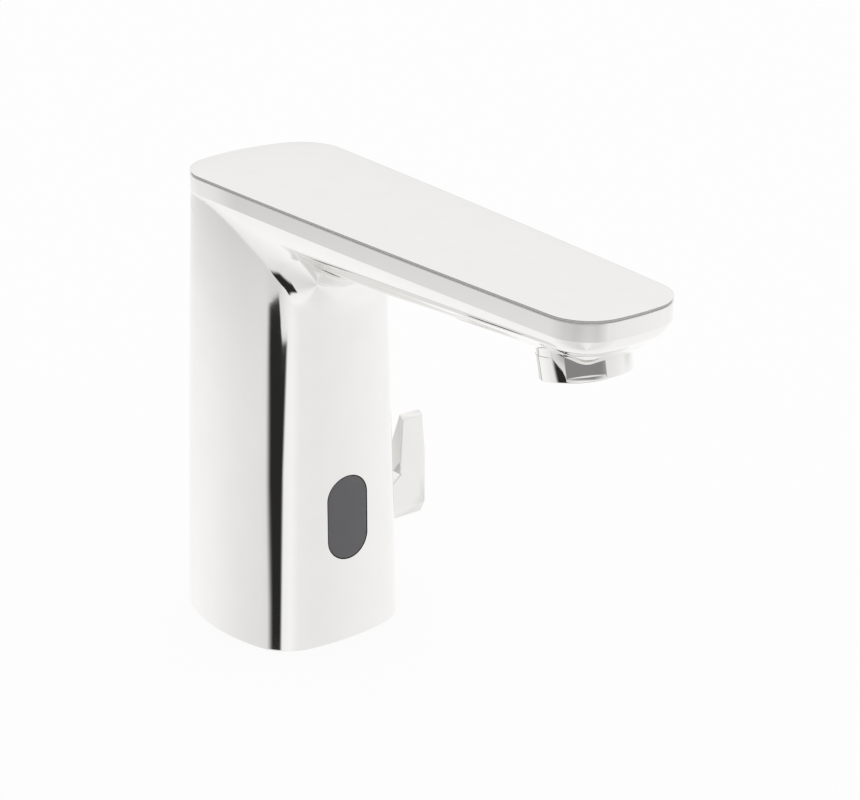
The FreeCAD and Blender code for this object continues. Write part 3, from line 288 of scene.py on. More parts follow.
# level rings down the column to the deck; the last two turn the foot's lower edge
levels = [(z, 0.0) for z in np.linspace(PIVOT_Z, 0.5, COLUMN_ROWS + 1)[1:]] + [(0.12, -0.12), (0.0, -0.5)]
for z, level in levels:
    angle = spread(math.pi * kept_share, math.pi)
    direction = np.stack([np.sin(angle), -np.cos(angle), 0 * angle], 1)
    right = cast_rays(np.tile([0.0, AXIS_Y, z], (len(angle), 1)), direction, level=level)
    right[0, 0] = right[-1, 0] = 0.0
    casting_rows.append(half_to_row(right, True))

for upper, lower in zip(casting_rows, casting_rows[1:]):
    for a, b, c, d in zip(upper, upper[1:], lower[1:], lower):
        casting_faces.append((a, b, c, d))

# the tip, half rows turned about its upright line
first = casting_rows[0]
fan = [[first[HALF - j] for j in range(HALF + 1)]]
for k in range(1, TIP_ROWS):
    turn = math.pi * k / TIP_ROWS
    flat = np.array([-math.cos(turn), -math.sin(turn)])
    ends = [float(narrow(lambda out: outline_distance(flat[0] * out, TIP_Y + flat[1] * out, HEAD) > -inset,
                         0.0, 40.0)) for inset in (0.0, FLANK_INSET)]
    angle = spread(math.atan2(ends[1], EDGE_DROP + (TIP_Y + flat[1] * ends[1]) * EDGE_RISE), math.pi / 2)
    direction = np.stack([np.sin(angle) * flat[0], np.sin(angle) * flat[1], -np.cos(angle)], 1)
    points = cast_rays(np.tile([0.0, TIP_Y, CREASE_Z], (len(angle), 1)), direction)
    points[-1] = (flat[0] * ends[0], TIP_Y + flat[1] * ends[0], CREASE_Z)
    fan.append([first[HALF]] + keep_points(points[1:]))
fan.append([first[HALF + j] for j in range(HALF + 1)])
for upper, lower in zip(fan, fan[1:]):
    for a, b, c, d in zip(upper, upper[1:], lower[1:], lower):
        casting_faces.append((a, b, c, d) if a != d else (a, b, c))

# the upright band on the crease, and its turned rim
open_rows = [r for r in casting_rows if r[0] != r[-1]]
back_row = casting_rows[len(open_rows)]
crease_loop = [back_row[0]] + [r[0] for r in reversed(open_rows)] + [f[-1] for f in fan[1:-1]]
crease_loop += [r[-1] for r in open_rows]


def offset_loop(loop, inset, z):
    """Points of a crease loop moved inwards by inset and set at height z."""
    p = np.array([casting_verts[i] for i in loop])[:, :2]
    e = 1e-3
    gx = outline_distance(p[:, 0] + e, p[:, 1], HEAD) - outline_distance(p[:, 0] - e, p[:, 1], HEAD)
    gy = outline_distance(p[:, 0], p[:, 1] + e, HEAD) - outline_distance(p[:, 0], p[:, 1] - e, HEAD)
    gx[np.abs(p[:, 0]) < 1e-6] = 0
    size = np.hypot(gx, gy)
    return np.stack([p[:, 0] - gx / size * inset, p[:, 1] - gy / size * inset, np.full(len(p), z)], 1)


def bridge(faces, upper, lower):
    """Four-sided faces between two closed loops of as many points."""
    n = len(upper)
    for i in range(n):
        faces.append((upper[i], upper[(i + 1) % n], lower[(i + 1) % n], lower[i]))


loop = crease_loop
for inset, z in ((0, 136.6), (0, RIM_Z - 0.25), (0.08, RIM_Z - 0.07), (0.25, RIM_Z)):
    above = keep_points(offset_loop(crease_loop, inset, z))
    bridge(casting_faces, above, loop)
    loop = above
casting_faces.append(tuple(loop))
casting_faces.append(tuple(casting_rows[-1][:-1]))


def metres(points):
    """Points in mm as points in metres."""
    return [(x * 0.001, y * 0.001, z * 0.001) for x, y, z in points]


def in_scene(name, data):
    """A new object of that name in the scene."""
    piece = bpy.data.objects.new(name, data)
    bpy.context.scene.collection.objects.link(piece)
    return piece


def mesh_piece(name, verts, faces, materials=()):
    """A new piece from points in mm, closed and with its faces turned outwards."""
    mesh = bpy.data.meshes.new(name)
    mesh.from_pydata(metres(verts), [], faces)
    for material in materials:
        mesh.materials.append(material)
    made = bmesh.new()
    made.from_mesh(mesh)
    bmesh.ops.remove_doubles(made, verts=made.verts, dist=2e-7)
    bmesh.ops.recalc_face_normals(made, faces=made.faces)
    made.to_mesh(mesh)
    made.free()
    return in_scene(name, mesh)


def linear(colour):
    """An sRGB hex colour as linear red, green, blue and alpha."""
    channels = [int(colour[i:i + 2], 16) / 255 for i in (1, 3, 5)]
    return [c / 12.92 if c <= 0.04045 else ((c + 0.055) / 1.055) ** 2.4 for c in channels] + [1.0]


def add(tree, kind, sets=None, links=None):
    """A node, with its properties and input values set, and its inputs linked."""
    made = tree.nodes.new(kind)
    for key, value in (sets or {}).items():
        if isinstance(key, str) and hasattr(made, key):
            setattr(made, key, value)
        else:
            made.inputs[key].default_value = value
    for key, source in (links or {}).items():
        tree.links.new(source, made.inputs[key])
    return made


def new_material(name):
    """An empty material, its tree and the place that a pattern reads, in metres on the real piece."""
    material = bpy.data.materials.new(name)
    material.use_nodes = True
    tree = material.node_tree
    tree.nodes.clear()
    place = add(tree, "ShaderNodeTexCoord").outputs["Object"]
    return material, tree, place


def per_mm(size_mm):
    """Texture scale for a pattern whose features are this size."""
    return 1000.0 / size_mm


# Chrome plate on buffed brass: a clear mirror, a little cool. Buffing leaves a faint cloudiness
# some 9 mm across, and hairlines too fine to show, drawn as a slight change of roughness.
chrome, tree, place = new_material("chrome_plate_on_buffed_brass")
cloud = add(tree, "ShaderNodeTexNoise", {"Scale": per_mm(9.0), "Detail": 3.0}, {"Vector": place})
rough = add(tree, "ShaderNodeMapRange", {"To Min": 0.035, "To Max": 0.075}, {"Value": cloud.outputs["Fac"]})
tint = add(tree, "ShaderNodeMix", {"data_type": "RGBA", 6: linear("#eeedeb"), 7: linear("#f3f2f0")},
           {0: cloud.outputs["Fac"]})
shader = add(tree, "ShaderNodeBsdfPrincipled", {"Metallic": 1.0},
             {"Base Color": tint.outputs[2], "Roughness": rough.outputs["Result"]})
add(tree, "ShaderNodeOutputMaterial", links={"Surface": shader.outputs["BSDF"]})

# The brass as it left the sand core: dull yellow, grainy at about 0.6 mm.
cast_brass, tree, place = new_material("brass_as_cast")
grain = add(tree, "ShaderNodeTexNoise", {"Scale": per_mm(0.6), "Detail": 5.0}, {"Vector": place})
stain = add(tree, "ShaderNodeTexNoise", {"Scale": per_mm(14.0), "Detail": 2.0}, {"Vector": place})
tint = add(tree, "ShaderNodeMix", {"data_type": "RGBA", 6: linear("#8c713c"), 7: linear("#b6965a")},
           {0: stain.outputs["Fac"]})
bump = add(tree, "ShaderNodeBump", {"Strength": 0.6, "Distance": 0.00015}, {"Height": grain.outputs["Fac"]})
shader = add(tree, "ShaderNodeBsdfPrincipled", {"Metallic": 1.0, "Roughness": 0.55},
             {"Base Color": tint.outputs[2], "Normal": bump.outputs["Normal"]})
add(tree, "ShaderNodeOutputMaterial", links={"Surface": shader.outputs["BSDF"]})

body = mesh_piece("body_casting_dressed", casting_verts, casting_faces, (chrome, cast_brass))


def loft(name, loops):
    """A closed tool from loops of points in mm, all with the same number of points."""
    n = len(loops[0])
    faces = []
    for k in range(len(loops) - 1):
        bridge(faces, list(range(k * n, k * n + n)), list(range(k * n + n, k * n + 2 * n)))
    faces += [tuple(range(n)), tuple(range((len(loops) - 1) * n, len(loops) * n))]
    return mesh_piece(name, [tuple(p) for l in loops for p in l], faces, (chrome, cast_brass))


def column_loop(z, inset, count=120):
    """The column's outline at height z, moved inwards."""
    angle = np.linspace(0, 2 * math.pi, count, endpoint=False)
    across, along = np.cos(angle), np.sin(angle)
    shape = column_shape(z)
    reach = narrow(lambda out: outline_distance(across * out, AXIS_Y + along * out, shape) > -inset,
                   np.zeros(count), np.full(count, 45.0))
    return [(math.cos(a) * r, AXIS_Y + math.sin(a) * r, z) for a, r in zip(angle, reach)]


def bar_loops(start, end, radius, count=64, across=None):
    """Two circles (or, with across, two ovals of that half length along Z) for a straight bar."""
    start, end = np.array(start, float), np.array(end, float)
    axis = (end - start) / np.linalg.norm(end - start)
    side = np.cross(axis, (0, 0, 1) if abs(axis[2]) < 0.9 else (1, 0, 0))
    side /= np.linalg.norm(side)
    up = np.cross(side, axis)
    loops = []
    for middle in (start, end):
        points = []
        for i in range(count):
            a = 2 * math.pi * (i + 0.5) / count
            lift = 0 if across is None else math.copysign(across, math.sin(a))
            points.append(middle + side * radius * math.cos(a) + up * (radius * math.sin(a) + lift))
        loops.append(points)
    return loops


def bake(piece):
    """Turns what the piece's modifiers make into its plain mesh."""
    bpy.context.view_layer.update()
    mesh = bpy.data.meshes.new_from_object(piece.evaluated_get(bpy.context.evaluated_depsgraph_get()))
    piece.modifiers.clear()
    piece.data = mesh


def cut(piece, tools, finish=1):
    """Takes the tools away from the piece one by one. finish numbers the material left on the cut."""
    for tool in tools:
        for face in tool.data.polygons:
            face.material_index = finish
        step = piece.modifiers.new("cut", "BOOLEAN")
        step.operation, step.solver, step.object = "DIFFERENCE", "EXACT", tool
        bake(piece)
        bpy.data.objects.remove(tool)


# the hollows and openings of the casting
TROUGH_FLOOR = 129.9
TROUGH_DRAFT = 5.87     # inset of the trough's floor, so its walls stay even behind the leaning flank
BLOCK_Y = -118.0        # the arm is solid beyond this
RECESS_Z = 138.55       # the cover's plate drops in to here
CHANNEL = dict(half_width=4.2, tip_y=-134.9, back_y=-117.0, floor=130.5)     # the tube's way into the tip
TUBE_BORE = dict(radius=3.55, y=-130.8, low=118.0, high=134.9)
GRUB_Z = CREASE_Z + 1.2
GRUB_RADIUS = 1.5
OUTLET = (0.0, -132.9, 118.6)
TILT = math.radians(12.0)
COLLAR_RADIUS = 12.0
COLLAR_HEIGHT = 6.5
COLLAR_GAP = 0.3
THREAD_TOP = 10.05
THREAD_RADIUS = COLLAR_RADIUS - 0.05
WINDOW = dict(width=13.8, height=26.4, z=40.1, gap=0.25, front_y=-28.6)
LEVER_Z = 24.0
RING_BORE = 12.05
BEYOND = 1.0            # how far a cut reaches past the skin


def on_outlet(height):
    """A point on the outlet's axis."""
    return OUTLET[0], OUTLET[1] + height * math.sin(TILT), OUTLET[2] + height * math.cos(TILT)


def trough_loop(inset, z):
    """The head outline, moved inwards and ended square where the tip is solid."""
    points = offset_loop(crease_loop[::2], inset, z)
    points[:, 1] = np.maximum(points[:, 1], BLOCK_Y)
    return points


def block_loops(x, y, z):
    """The lower and upper four corners of a block from three pairs of limits."""
    return [[(x[0], y[0], level), (x[1], y[0], level), (x[1], y[1], level), (x[0], y[1], level)]
            for level in z]


above = RIM_Z + BEYOND
window_round = WINDOW["width"] / 2 + WINDOW["gap"]
window_straight = (WINDOW["height"] - WINDOW["width"]) / 2
cut(body, [
    loft("column_hollow", [column_loop(z, WALL) for z in (-BEYOND, 40.0, 80.0, 120.0, CREASE_Z)]),
    loft("arm_trough", [trough_loop(TROUGH_DRAFT, TROUGH_FLOOR), trough_loop(RIM_WALL, CREASE_Z),
                        trough_loop(RIM_WALL, above)]),
    loft("cover_recess", [offset_loop(crease_loop[::2], RIM_WALL, z) for z in (RECESS_Z, above)]),
    loft("tip_channel", block_loops((-CHANNEL["half_width"], CHANNEL["half_width"]),
                                    (CHANNEL["tip_y"], CHANNEL["back_y"]), (CHANNEL["floor"], above))),
    loft("window_opening", bar_loops((0, WINDOW["front_y"] - 4, WINDOW["z"]),
                                     (0, WINDOW["front_y"] + WALL + 2, WINDOW["z"]), window_round,
                                     across=window_straight)),
    loft("ring_bore", bar_loops((15, 0, LEVER_Z), (40, 0, LEVER_Z), RING_BORE, 96)),
    loft("collar_recess", bar_loops(on_outlet(-8), on_outlet(COLLAR_HEIGHT + 0.1),
                                    COLLAR_RADIUS + COLLAR_GAP, 96)),
    loft("collar_thread", bar_loops(on_outlet(0), on_outlet(THREAD_TOP), THREAD_RADIUS, 96)),
    loft("tube_bore", bar_loops((0, TUBE_BORE["y"], TUBE_BORE["low"]),
                                (0, TUBE_BORE["y"], TUBE_BORE["high"]), TUBE_BORE["radius"])),
    loft("grub_hole", bar_loops((0, 10, GRUB_Z), (0, 40, GRUB_Z), GRUB_RADIUS, 32)),
])


def form_normals(piece):
    """Gives the outer skin the exact normals of the form, and leaves the cut faces as they are."""
    mesh = piece.data
    for face in mesh.polygons:
        face.use_smooth = True
    mesh.set_sharp_from_angle(angle=math.radians(32))
    corner = np.zeros(len(mesh.loops), int)
    mesh.loops.foreach_get("vertex_index", corner)
    place = np.zeros(len(mesh.vertices) * 3)
    mesh.vertices.foreach_get("co", place)
    place = place.reshape(-1, 3) * 1000
    owner = np.zeros(len(mesh.loops), int)
    middle = np.zeros((len(mesh.polygons), 3))
    facing = np.zeros((len(mesh.polygons), 3))
    kind = np.zeros(len(mesh.polygons), int)
    for face in mesh.polygons:
        owner[face.loop_start:face.loop_start + face.loop_total] = face.index
        middle[face.index] = np.array(face.center) * 1000
        facing[face.index] = face.normal
        kind[face.index] = face.material_index
    at = place[corner]
    near = at + (middle[owner] - at) * 0.04     # a little way in on its own face
    near_z = near[:, 2]
    on_band = near_z > CREASE_Z
    step = 0.004    # mm to each side

    def field(p):
        """The upright band's own distance above the crease, and the whole form's below it."""
        low = casting_field(p[:, 0], p[:, 1], p[:, 2])
        return np.where(on_band, outline_distance(p[:, 0], p[:, 1], HEAD), low)

    slope = np.stack([field(near + way) - field(near - way) for way in np.eye(3) * step], 1)
    slope[:, 2] -= np.where(on_band, BAND_LEAN * 2 * step * smooth(4, -12, at[:, 1]), 0)
    size = np.linalg.norm(slope, axis=1)
    slope /= np.maximum(size, 1e-12)[:, None]
    # only corners that lie on the form, face its way and are clear of the foot's and the rim's rounded edges
    skin = (kind[owner] == 0) & (np.abs(field(at)) < 0.02) & ((slope * facing[owner]).sum(1) > 0.8)
    skin &= (near_z > 0.5) & (near_z < RIM_Z - 0.2)
    existing = np.zeros(len(mesh.loops) * 3)
    mesh.corner_normals.foreach_get("vector", existing)
    existing = existing.reshape(-1, 3)
    final = np.where(skin[:, None], slope, existing)
    mesh.normals_split_custom_set([tuple(n) for n in final])


form_normals(body)
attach(body, "tap")
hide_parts("body_casting")

# ------------------------------------------------------------------ foot
# A soft rubber gasket lies on the basin. On it, in the column's foot, sits a pressed steel plate, plated
# with bright zinc. Four socket screws hold the plate up against bosses in the casting.
def grained(name, dark, pale, grain_mm, depth_mm, sets, stretch=(1.0, 1.0, 1.0)):
    """A finish of two close tones with a grain of that size. stretch draws the grain out into tool marks."""
    material, tree, place = new_material(name)
    drawn = add(tree, "ShaderNodeMapping", {"Scale": stretch}, {"Vector": place})
    grain = add(tree, "ShaderNodeTexNoise", {"Scale": per_mm(grain_mm), "Detail": 3.0},
                {"Vector": drawn.outputs[0]})
    tint = add(tree, "ShaderNodeMix", {"data_type": "RGBA", 6: linear(dark), 7: linear(pale)},
               {0: grain.outputs["Fac"]})
    bump = add(tree, "ShaderNodeBump", {"Strength": 0.5, "Distance": depth_mm * 0.001},
               {"Height": grain.outputs["Fac"]})
    shader = add(tree, "ShaderNodeBsdfPrincipled", sets,
                 {"Base Color": tint.outputs[2], "Normal": bump.outputs["Normal"]})
    add(tree, "ShaderNodeOutputMaterial", links={"Surface": shader.outputs["BSDF"]})
    return material


def dress(material, *names):
    """Gives parts that keep their CAD form this material."""
    for name in names:
        if not nodes[name].material_slots:
            nodes[name].data.materials.append(material)
        for place in nodes[name].material_slots:
            place.material = material


# EPDM rubber: near black and dull, with the mould's fine matt grain.
black_rubber = grained("black_epdm_rubber", "#161616", "#232323", 0.35, 0.02, {"Roughness": 0.72})
dress(black_rubber, "base_gasket")

# Bright zinc plate: bluish grey with crystals about 2 mm across, each a slightly different grey.
zinc_plate, tree, place = new_material("zinc_plated_steel")
crystal = add(tree, "ShaderNodeTexVoronoi", {"Scale": per_mm(2.0)}, {"Vector": place})
tone = add(tree, "ShaderNodeSeparateColor", links={0: crystal.outputs["Color"]})
tint = add(tree, "ShaderNodeMix", {"data_type": "RGBA", 6: linear("#a3a9ae"), 7: linear("#c3c8cb")},
           {0: tone.outputs[0]})
rough = add(tree, "ShaderNodeMapRange", {"To Min": 0.26, "To Max": 0.42}, {"Value": tone.outputs[1]})
shader = add(tree, "ShaderNodeBsdfPrincipled", {"Metallic": 1.0},
             {"Base Color": tint.outputs[2], "Roughness": rough.outputs["Result"]})
add(tree, "ShaderNodeOutputMaterial", links={"Surface": shader.outputs["BSDF"]})
dress(zinc_plate, "mounting_plate")

# Stainless steel as turned: clean grey, with tool marks 0.08 mm apart that soften what it mirrors.
stainless = grained("turned_stainless_steel", "#a9a8a5", "#c9c8c5", 0.5, 0.01,
                    {"Metallic": 1.0, "Roughness": 0.28}, (1.0, 1.0, 6.0))


def growth(name, inputs):
    """An empty Geometry Nodes tree with these named inputs, and its own input and output nodes."""
    tree = bpy.data.node_groups.new(name, "GeometryNodeTree")
    tree.interface.new_socket("Geometry", in_out="INPUT", socket_type="NodeSocketGeometry")
    tree.interface.new_socket("Geometry", in_out="OUTPUT", socket_type="NodeSocketGeometry")
    for key in inputs:
        tree.interface.new_socket(key, in_out="INPUT", socket_type="NodeSocketFloat")
    return tree, add(tree, "NodeGroupInput").outputs, add(tree, "NodeGroupOutput").inputs


def end_growth(tree, grown_part, material, out):
    """Ends a Geometry Nodes tree: its copies become plain mesh of this material."""
    real = add(tree, "GeometryNodeRealizeInstances", links={0: grown_part.outputs[0]})
    finished = add(tree, "GeometryNodeSetMaterial", {"Material": material}, {"Geometry": real.outputs[0]})
    tree.links.new(finished.outputs[0], out[0])


def smooth_sides(piece, angle):
    """Shades the piece smooth, with a hard edge wherever it turns by more than this many degrees."""
    for face in piece.data.polygons:
        face.use_smooth = True
    piece.data.set_sharp_from_angle(angle=math.radians(angle))


def grown(name, verts_mm, edges, tree, sizes_mm, marks=None):
    """The plain mesh that a tree grows from these points and edges. marks is a value for each point."""
    mesh = bpy.data.meshes.new(name)
    mesh.from_pydata(metres(verts_mm), edges, [])
    if marks is not None:
        mesh.attributes.new("mark", "FLOAT", "POINT").data.foreach_set("value", marks)
    piece = in_scene(name, mesh)
    step = piece.modifiers.new("grow", "NODES")
    step.node_group = tree
    for entry in tree.interface.items_tree:
        if entry.item_type == "SOCKET" and entry.in_out == "INPUT" and entry.name in sizes_mm:
            step[entry.identifier] = sizes_mm[entry.name] * 0.001
    bake(piece)
    smooth_sides(piece, 32)
    return piece


# the four screws: one screw, its head down with a hexagon socket and its thread wound round the shank,
# set on each boss
BOSSES = ((-18.4, 17.6), (18.4, 17.6), (-17.3, -17.7), (17.3, -17.7))
HEAD_SEAT = 6.0         # the screws' heads bear on the plate here
SHANK_RADIUS = 1.72
SHANK_LENGTH = 11.2
THREAD_PITCH = 0.8      # a little coarser than an M4 screw's, so that it shows
tree, given, out = growth("socket_screws", ("Head radius", "Head height", "Shank radius", "Shank length",
                                            "Socket radius", "Thread radius", "Thread wire"))
head = add(tree, "GeometryNodeMeshCylinder", {"Vertices": 64},
           {"Radius": given["Head radius"], "Depth": given["Head height"]})
socket = add(tree, "GeometryNodeMeshCylinder", {"Vertices": 6},
             {"Radius": given["Socket radius"], "Depth": given["Head height"]})
half = add(tree, "ShaderNodeMath", {"operation": "MULTIPLY", 1: -0.5}, {0: given["Head height"]})
down = add(tree, "ShaderNodeCombineXYZ", links={"Z": half.outputs[0]})
socket = add(tree, "GeometryNodeTransform",
             links={"Geometry": socket.outputs["Mesh"], "Translation": down.outputs[0]})
head = add(tree, "GeometryNodeMeshBoolean", {"operation": "DIFFERENCE"},
           {"Mesh 1": head.outputs["Mesh"], "Mesh 2": socket.outputs[0]})
head = add(tree, "GeometryNodeTransform",
           links={"Geometry": head.outputs["Mesh"], "Translation": down.outputs[0]})
shank = add(tree, "GeometryNodeMeshCylinder", {"Vertices": 48},
            {"Radius": given["Shank radius"], "Depth": given["Shank length"]})
half = add(tree, "ShaderNodeMath", {"operation": "MULTIPLY", 1: 0.5}, {0: given["Shank length"]})
up = add(tree, "ShaderNodeCombineXYZ", links={"Z": half.outputs[0]})
shank = add(tree, "GeometryNodeTransform",
            links={"Geometry": shank.outputs["Mesh"], "Translation": up.outputs[0]})
winding = add(tree, "GeometryNodeCurveSpiral", {"Resolution": 24, "Rotations": SHANK_LENGTH / THREAD_PITCH},
              {"Start Radius": given["Thread radius"], "End Radius": given["Thread radius"],
               "Height": given["Shank length"]})
wire = add(tree, "GeometryNodeCurvePrimitiveCircle", {"Resolution": 4}, {"Radius": given["Thread wire"]})
winding = add(tree, "GeometryNodeCurveToMesh", {"Fill Caps": True},
              {"Curve": winding.outputs[0], "Profile Curve": wire.outputs[0]})
joined = add(tree, "GeometryNodeJoinGeometry", links={0: head.outputs[0]})
tree.links.new(shank.outputs[0], joined.inputs[0])
tree.links.new(winding.outputs[0], joined.inputs[0])
placed = add(tree, "GeometryNodeInstanceOnPoints",
             links={"Points": given["Geometry"], "Instance": joined.outputs[0]})
end_growth(tree, placed, stainless, out)
screws = grown("plate_screws_threaded", [(x, y, HEAD_SEAT) for x, y in BOSSES], [], tree,
               {"Head radius": 3.15, "Head height": 2.8, "Socket radius": 1.73,
                "Shank radius": SHANK_RADIUS, "Shank length": SHANK_LENGTH,
                "Thread radius": SHANK_RADIUS, "Thread wire": 0.2})
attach(screws, "tap")
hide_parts("plate_screws")

# ------------------------------------------------------------------ valve block and check valves
# The block that all the water passes through, machined from a brass forging and set on the plate.
# Each inlet under it has a fine strainer and a small check valve with a white acetal seat and poppet.
# Brass as machined: warm yellow, with straight cutter marks drawn out across the faces.
brass = grained("machined_brass", "#b08b46", "#cbaa68", 0.7, 0.015, {"Metallic": 1.0, "Roughness": 0.3},
                (1.0, 9.0, 9.0))
dress(brass, "valve_block")
# Acetal: clean white and slightly waxy, so light goes a little way in.
acetal = grained("white_acetal", "#e2e1dc", "#efeeea", 0.8, 0.004,
                 {"Roughness": 0.42, "Subsurface Weight": 0.15, "Subsurface Radius": (1.0, 1.0, 1.0),
                  "Subsurface Scale": 0.0006})
dress(acetal, "hot_check_seat", "cold_check_seat", "hot_check_poppet", "cold_check_poppet")
# Spring wire: drawn stainless steel, brighter than the screws, its grain along the wire.
spring_wire = grained("drawn_spring_wire", "#b6b5b2", "#d2d1ce", 0.3, 0.006,
                      {"Metallic": 1.0, "Roughness": 0.22})


def merged_copy(name, node, material, angle, flatten=0.0):
    """A copy of a CAD part with its facets joined up. Facets within flatten degrees of flat become one."""
    made = bmesh.new()
    made.from_mesh(nodes[node].data)
    bmesh.ops.remove_doubles(made, verts=made.verts, dist=1e-6)
    if flatten:
        bmesh.ops.dissolve_limit(made, angle_limit=math.radians(flatten), verts=made.verts, edges=made.edges)
    mesh = bpy.data.meshes.new(name)
    made.to_mesh(mesh)
    made.free()
    mesh.materials.append(material)
    piece = in_scene(name, mesh)
    smooth_sides(piece, angle)
    return piece


def spring(node):
    """A coil spring copied from its CAD part, with the facets joined up, standing in the part's place."""
    piece = merged_copy(node + "_coil", node, spring_wire, 40)
    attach(piece, "tap")
    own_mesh(piece)
    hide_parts(node)


spring("hot_check_spring")
spring("cold_check_spring")
dress(stainless, "hot_strainer", "cold_strainer")

# ------------------------------------------------------------------ mixer cartridge
# A ceramic disc turned by the lever's spindle over a fixed disc, in an acetal sleeve across the block.
# The discs are lapped flat; a brass nut holds the sleeve in, and an O-ring seals the spindle.
# Alumina ceramic: white, hard and smooth, with a low silky shine and pale pores 0.2 mm across.
ceramic = grained("lapped_alumina", "#dcdad3", "#f0eee8", 0.2, 0.002,
                  {"Roughness": 0.24, "Coat Weight": 0.15, "Coat Roughness": 0.3})
dress(ceramic, "mixer_fixed_disc", "mixer_turning_disc")
dress(acetal, "mixer_sleeve")
dress(brass, "mixer_spindle", "cartridge_nut")
dress(black_rubber, "spindle_seal")

# ------------------------------------------------------------------ solenoid valve
# A rubbery diaphragm under a glass-filled nylon bonnet, lifted by a plunger in the coil on top.
# The coil is moulded in black resin inside a folded steel yoke.
# Silicone: milky and soft, it lets light through and shines a little.
silicone = grained("milky_silicone", "#cfc8bd", "#ded8ce", 1.2, 0.01,
                   {"Roughness": 0.5, "Subsurface Weight": 0.35, "Subsurface Radius": (1.0, 0.9, 0.8),
                    "Subsurface Scale": 0.0008})
dress(silicone, "diaphragm")
# Glass-filled nylon: black, dull, with fibres 1.5 mm long that just show in the skin.
nylon = grained("black_glass_filled_nylon", "#1b1b1c", "#2c2c2d", 0.25, 0.02, {"Roughness": 0.55},
                (1.0, 6.0, 1.0))
dress(nylon, "valve_bonnet", "sensor_housing")
# Moulding resin over the coil: black and smoother than the nylon, with faint flow clouds 5 mm across.
resin = grained("black_moulding_resin", "#141415", "#222224", 5.0, 0.03, {"Roughness": 0.34})
dress(resin, "solenoid_coil", "control_module")
dress(zinc_plate, "solenoid_yoke")
# Magnetic stainless steel: ground grey, darker than the screws.
magnet_steel = grained("ground_magnet_steel", "#8b8a88", "#a6a5a2", 0.4, 0.008,
                       {"Metallic": 1.0, "Roughness": 0.33}, (1.0, 1.0, 10.0))
dress(magnet_steel, "plunger", "fixed_core")
spring("plunger_spring")
dress(stainless, "bonnet_screws")

# ------------------------------------------------------------------ electronics and battery
# The sensor's board and its two infrared diodes look out through the window from a black housing.
# The battery stands behind, in a grey cradle with nickel contact strips.
# Circuit board: green lacquer over copper tracks 0.6 mm wide that raise the lacquer and lighten it.
board, tree, place = new_material("green_circuit_board")
turned = add(tree, "ShaderNodeMapping", {"Rotation": (math.pi / 2, 0.0, 0.0)}, {"Vector": place})
tracks = add(tree, "ShaderNodeTexBrick", {"Scale": per_mm(5.0), "Mortar Size": 0.05, "Brick Width": 0.7,
                                          "Row Height": 0.24, "Color1": linear("#0d4a2a"),
                                          "Color2": linear("#115534"), "Mortar": linear("#2b8055")},
             {"Vector": turned.outputs[0]})
bump = add(tree, "ShaderNodeBump", {"Strength": 0.5, "Distance": 0.00004}, {"Height": tracks.outputs["Fac"]})
shader = add(tree, "ShaderNodeBsdfPrincipled", {"Roughness": 0.3, "Coat Weight": 0.3},
             {"Base Color": tracks.outputs["Color"], "Normal": bump.outputs["Normal"]})
add(tree, "ShaderNodeOutputMaterial", links={"Surface": shader.outputs["BSDF"]})
dress(board, "sensor_board")
# Diode epoxy: deep violet-black and glassy, clear to infrared only.
epoxy = grained("infrared_epoxy", "#1a1320", "#231a2b", 1.5, 0.002,
                {"Roughness": 0.08, "Transmission Weight": 0.35, "IOR": 1.54})
dress(epoxy, "infrared_emitter", "infrared_receiver")
dress(stainless, "sensor_screws")
# Battery sleeve: shrunk-on film, dark blue, with a paler band round its upper end.
sleeve, tree, place = new_material("battery_shrink_sleeve")
parts = add(tree, "ShaderNodeSeparateXYZ", links={0: place})
BAND_EDGE = 0.1215      # metres above the deck
band = add(tree, "ShaderNodeMapRange", {"From Min": BAND_EDGE, "From Max": BAND_EDGE + 0.0003},
           {"Value": parts.outputs["Z"]})
tint = add(tree, "ShaderNodeMix", {"data_type": "RGBA", 6: linear("#1d2c4a"), 7: linear("#c9ccd2")},
           {0: band.outputs["Result"]})
wrinkle = add(tree, "ShaderNodeTexNoise", {"Scale": per_mm(3.0), "Detail": 2.0}, {"Vector": place})
bump = add(tree, "ShaderNodeBump", {"Strength": 0.3, "Distance": 0.00008},
           {"Height": wrinkle.outputs["Fac"]})
shader = add(tree, "ShaderNodeBsdfPrincipled", {"Roughness": 0.26},
             {"Base Color": tint.outputs[2], "Normal": bump.outputs["Normal"]})
add(tree, "ShaderNodeOutputMaterial", links={"Surface": shader.outputs["BSDF"]})
dress(sleeve, "battery")
# Grey nylon: plain moulded cradle and water tube, matt, the grain 0.5 mm.
grey_nylon = grained("grey_nylon", "#6f7173", "#7f8183", 0.5, 0.012, {"Roughness": 0.5})
dress(grey_nylon, "battery_cradle")
# Nickel plated strip: warm, bright, slightly brushed along its length.
nickel = grained("nickel_plated_strip", "#b9b3a6", "#d3cec2", 0.4, 0.005,
                 {"Metallic": 1.0, "Roughness": 0.25}, (6.0, 1.0, 6.0))
dress(nickel, "battery_contacts")

# ------------------------------------------------------------------ sensor window
# A dark smoked acrylic lens, pressed from outside into its opening in the column's front.
# Its front is flush with the casting and its rim is broken by a small polished edge.
def softened(name, node, width_mm, material, angle=30):
    """A copy of a CAD part with its sharp edges broken and rounded over this width."""
    piece = merged_copy(name, node, material, angle, flatten=0.6)
    step = piece.modifiers.new("broken edges", "BEVEL")
    step.width, step.segments, step.limit_method = width_mm * 0.001, 3, "ANGLE"
    step.angle_limit, step.harden_normals, step.use_clamp_overlap = math.radians(angle), True, True
    bake(piece)
    return piece


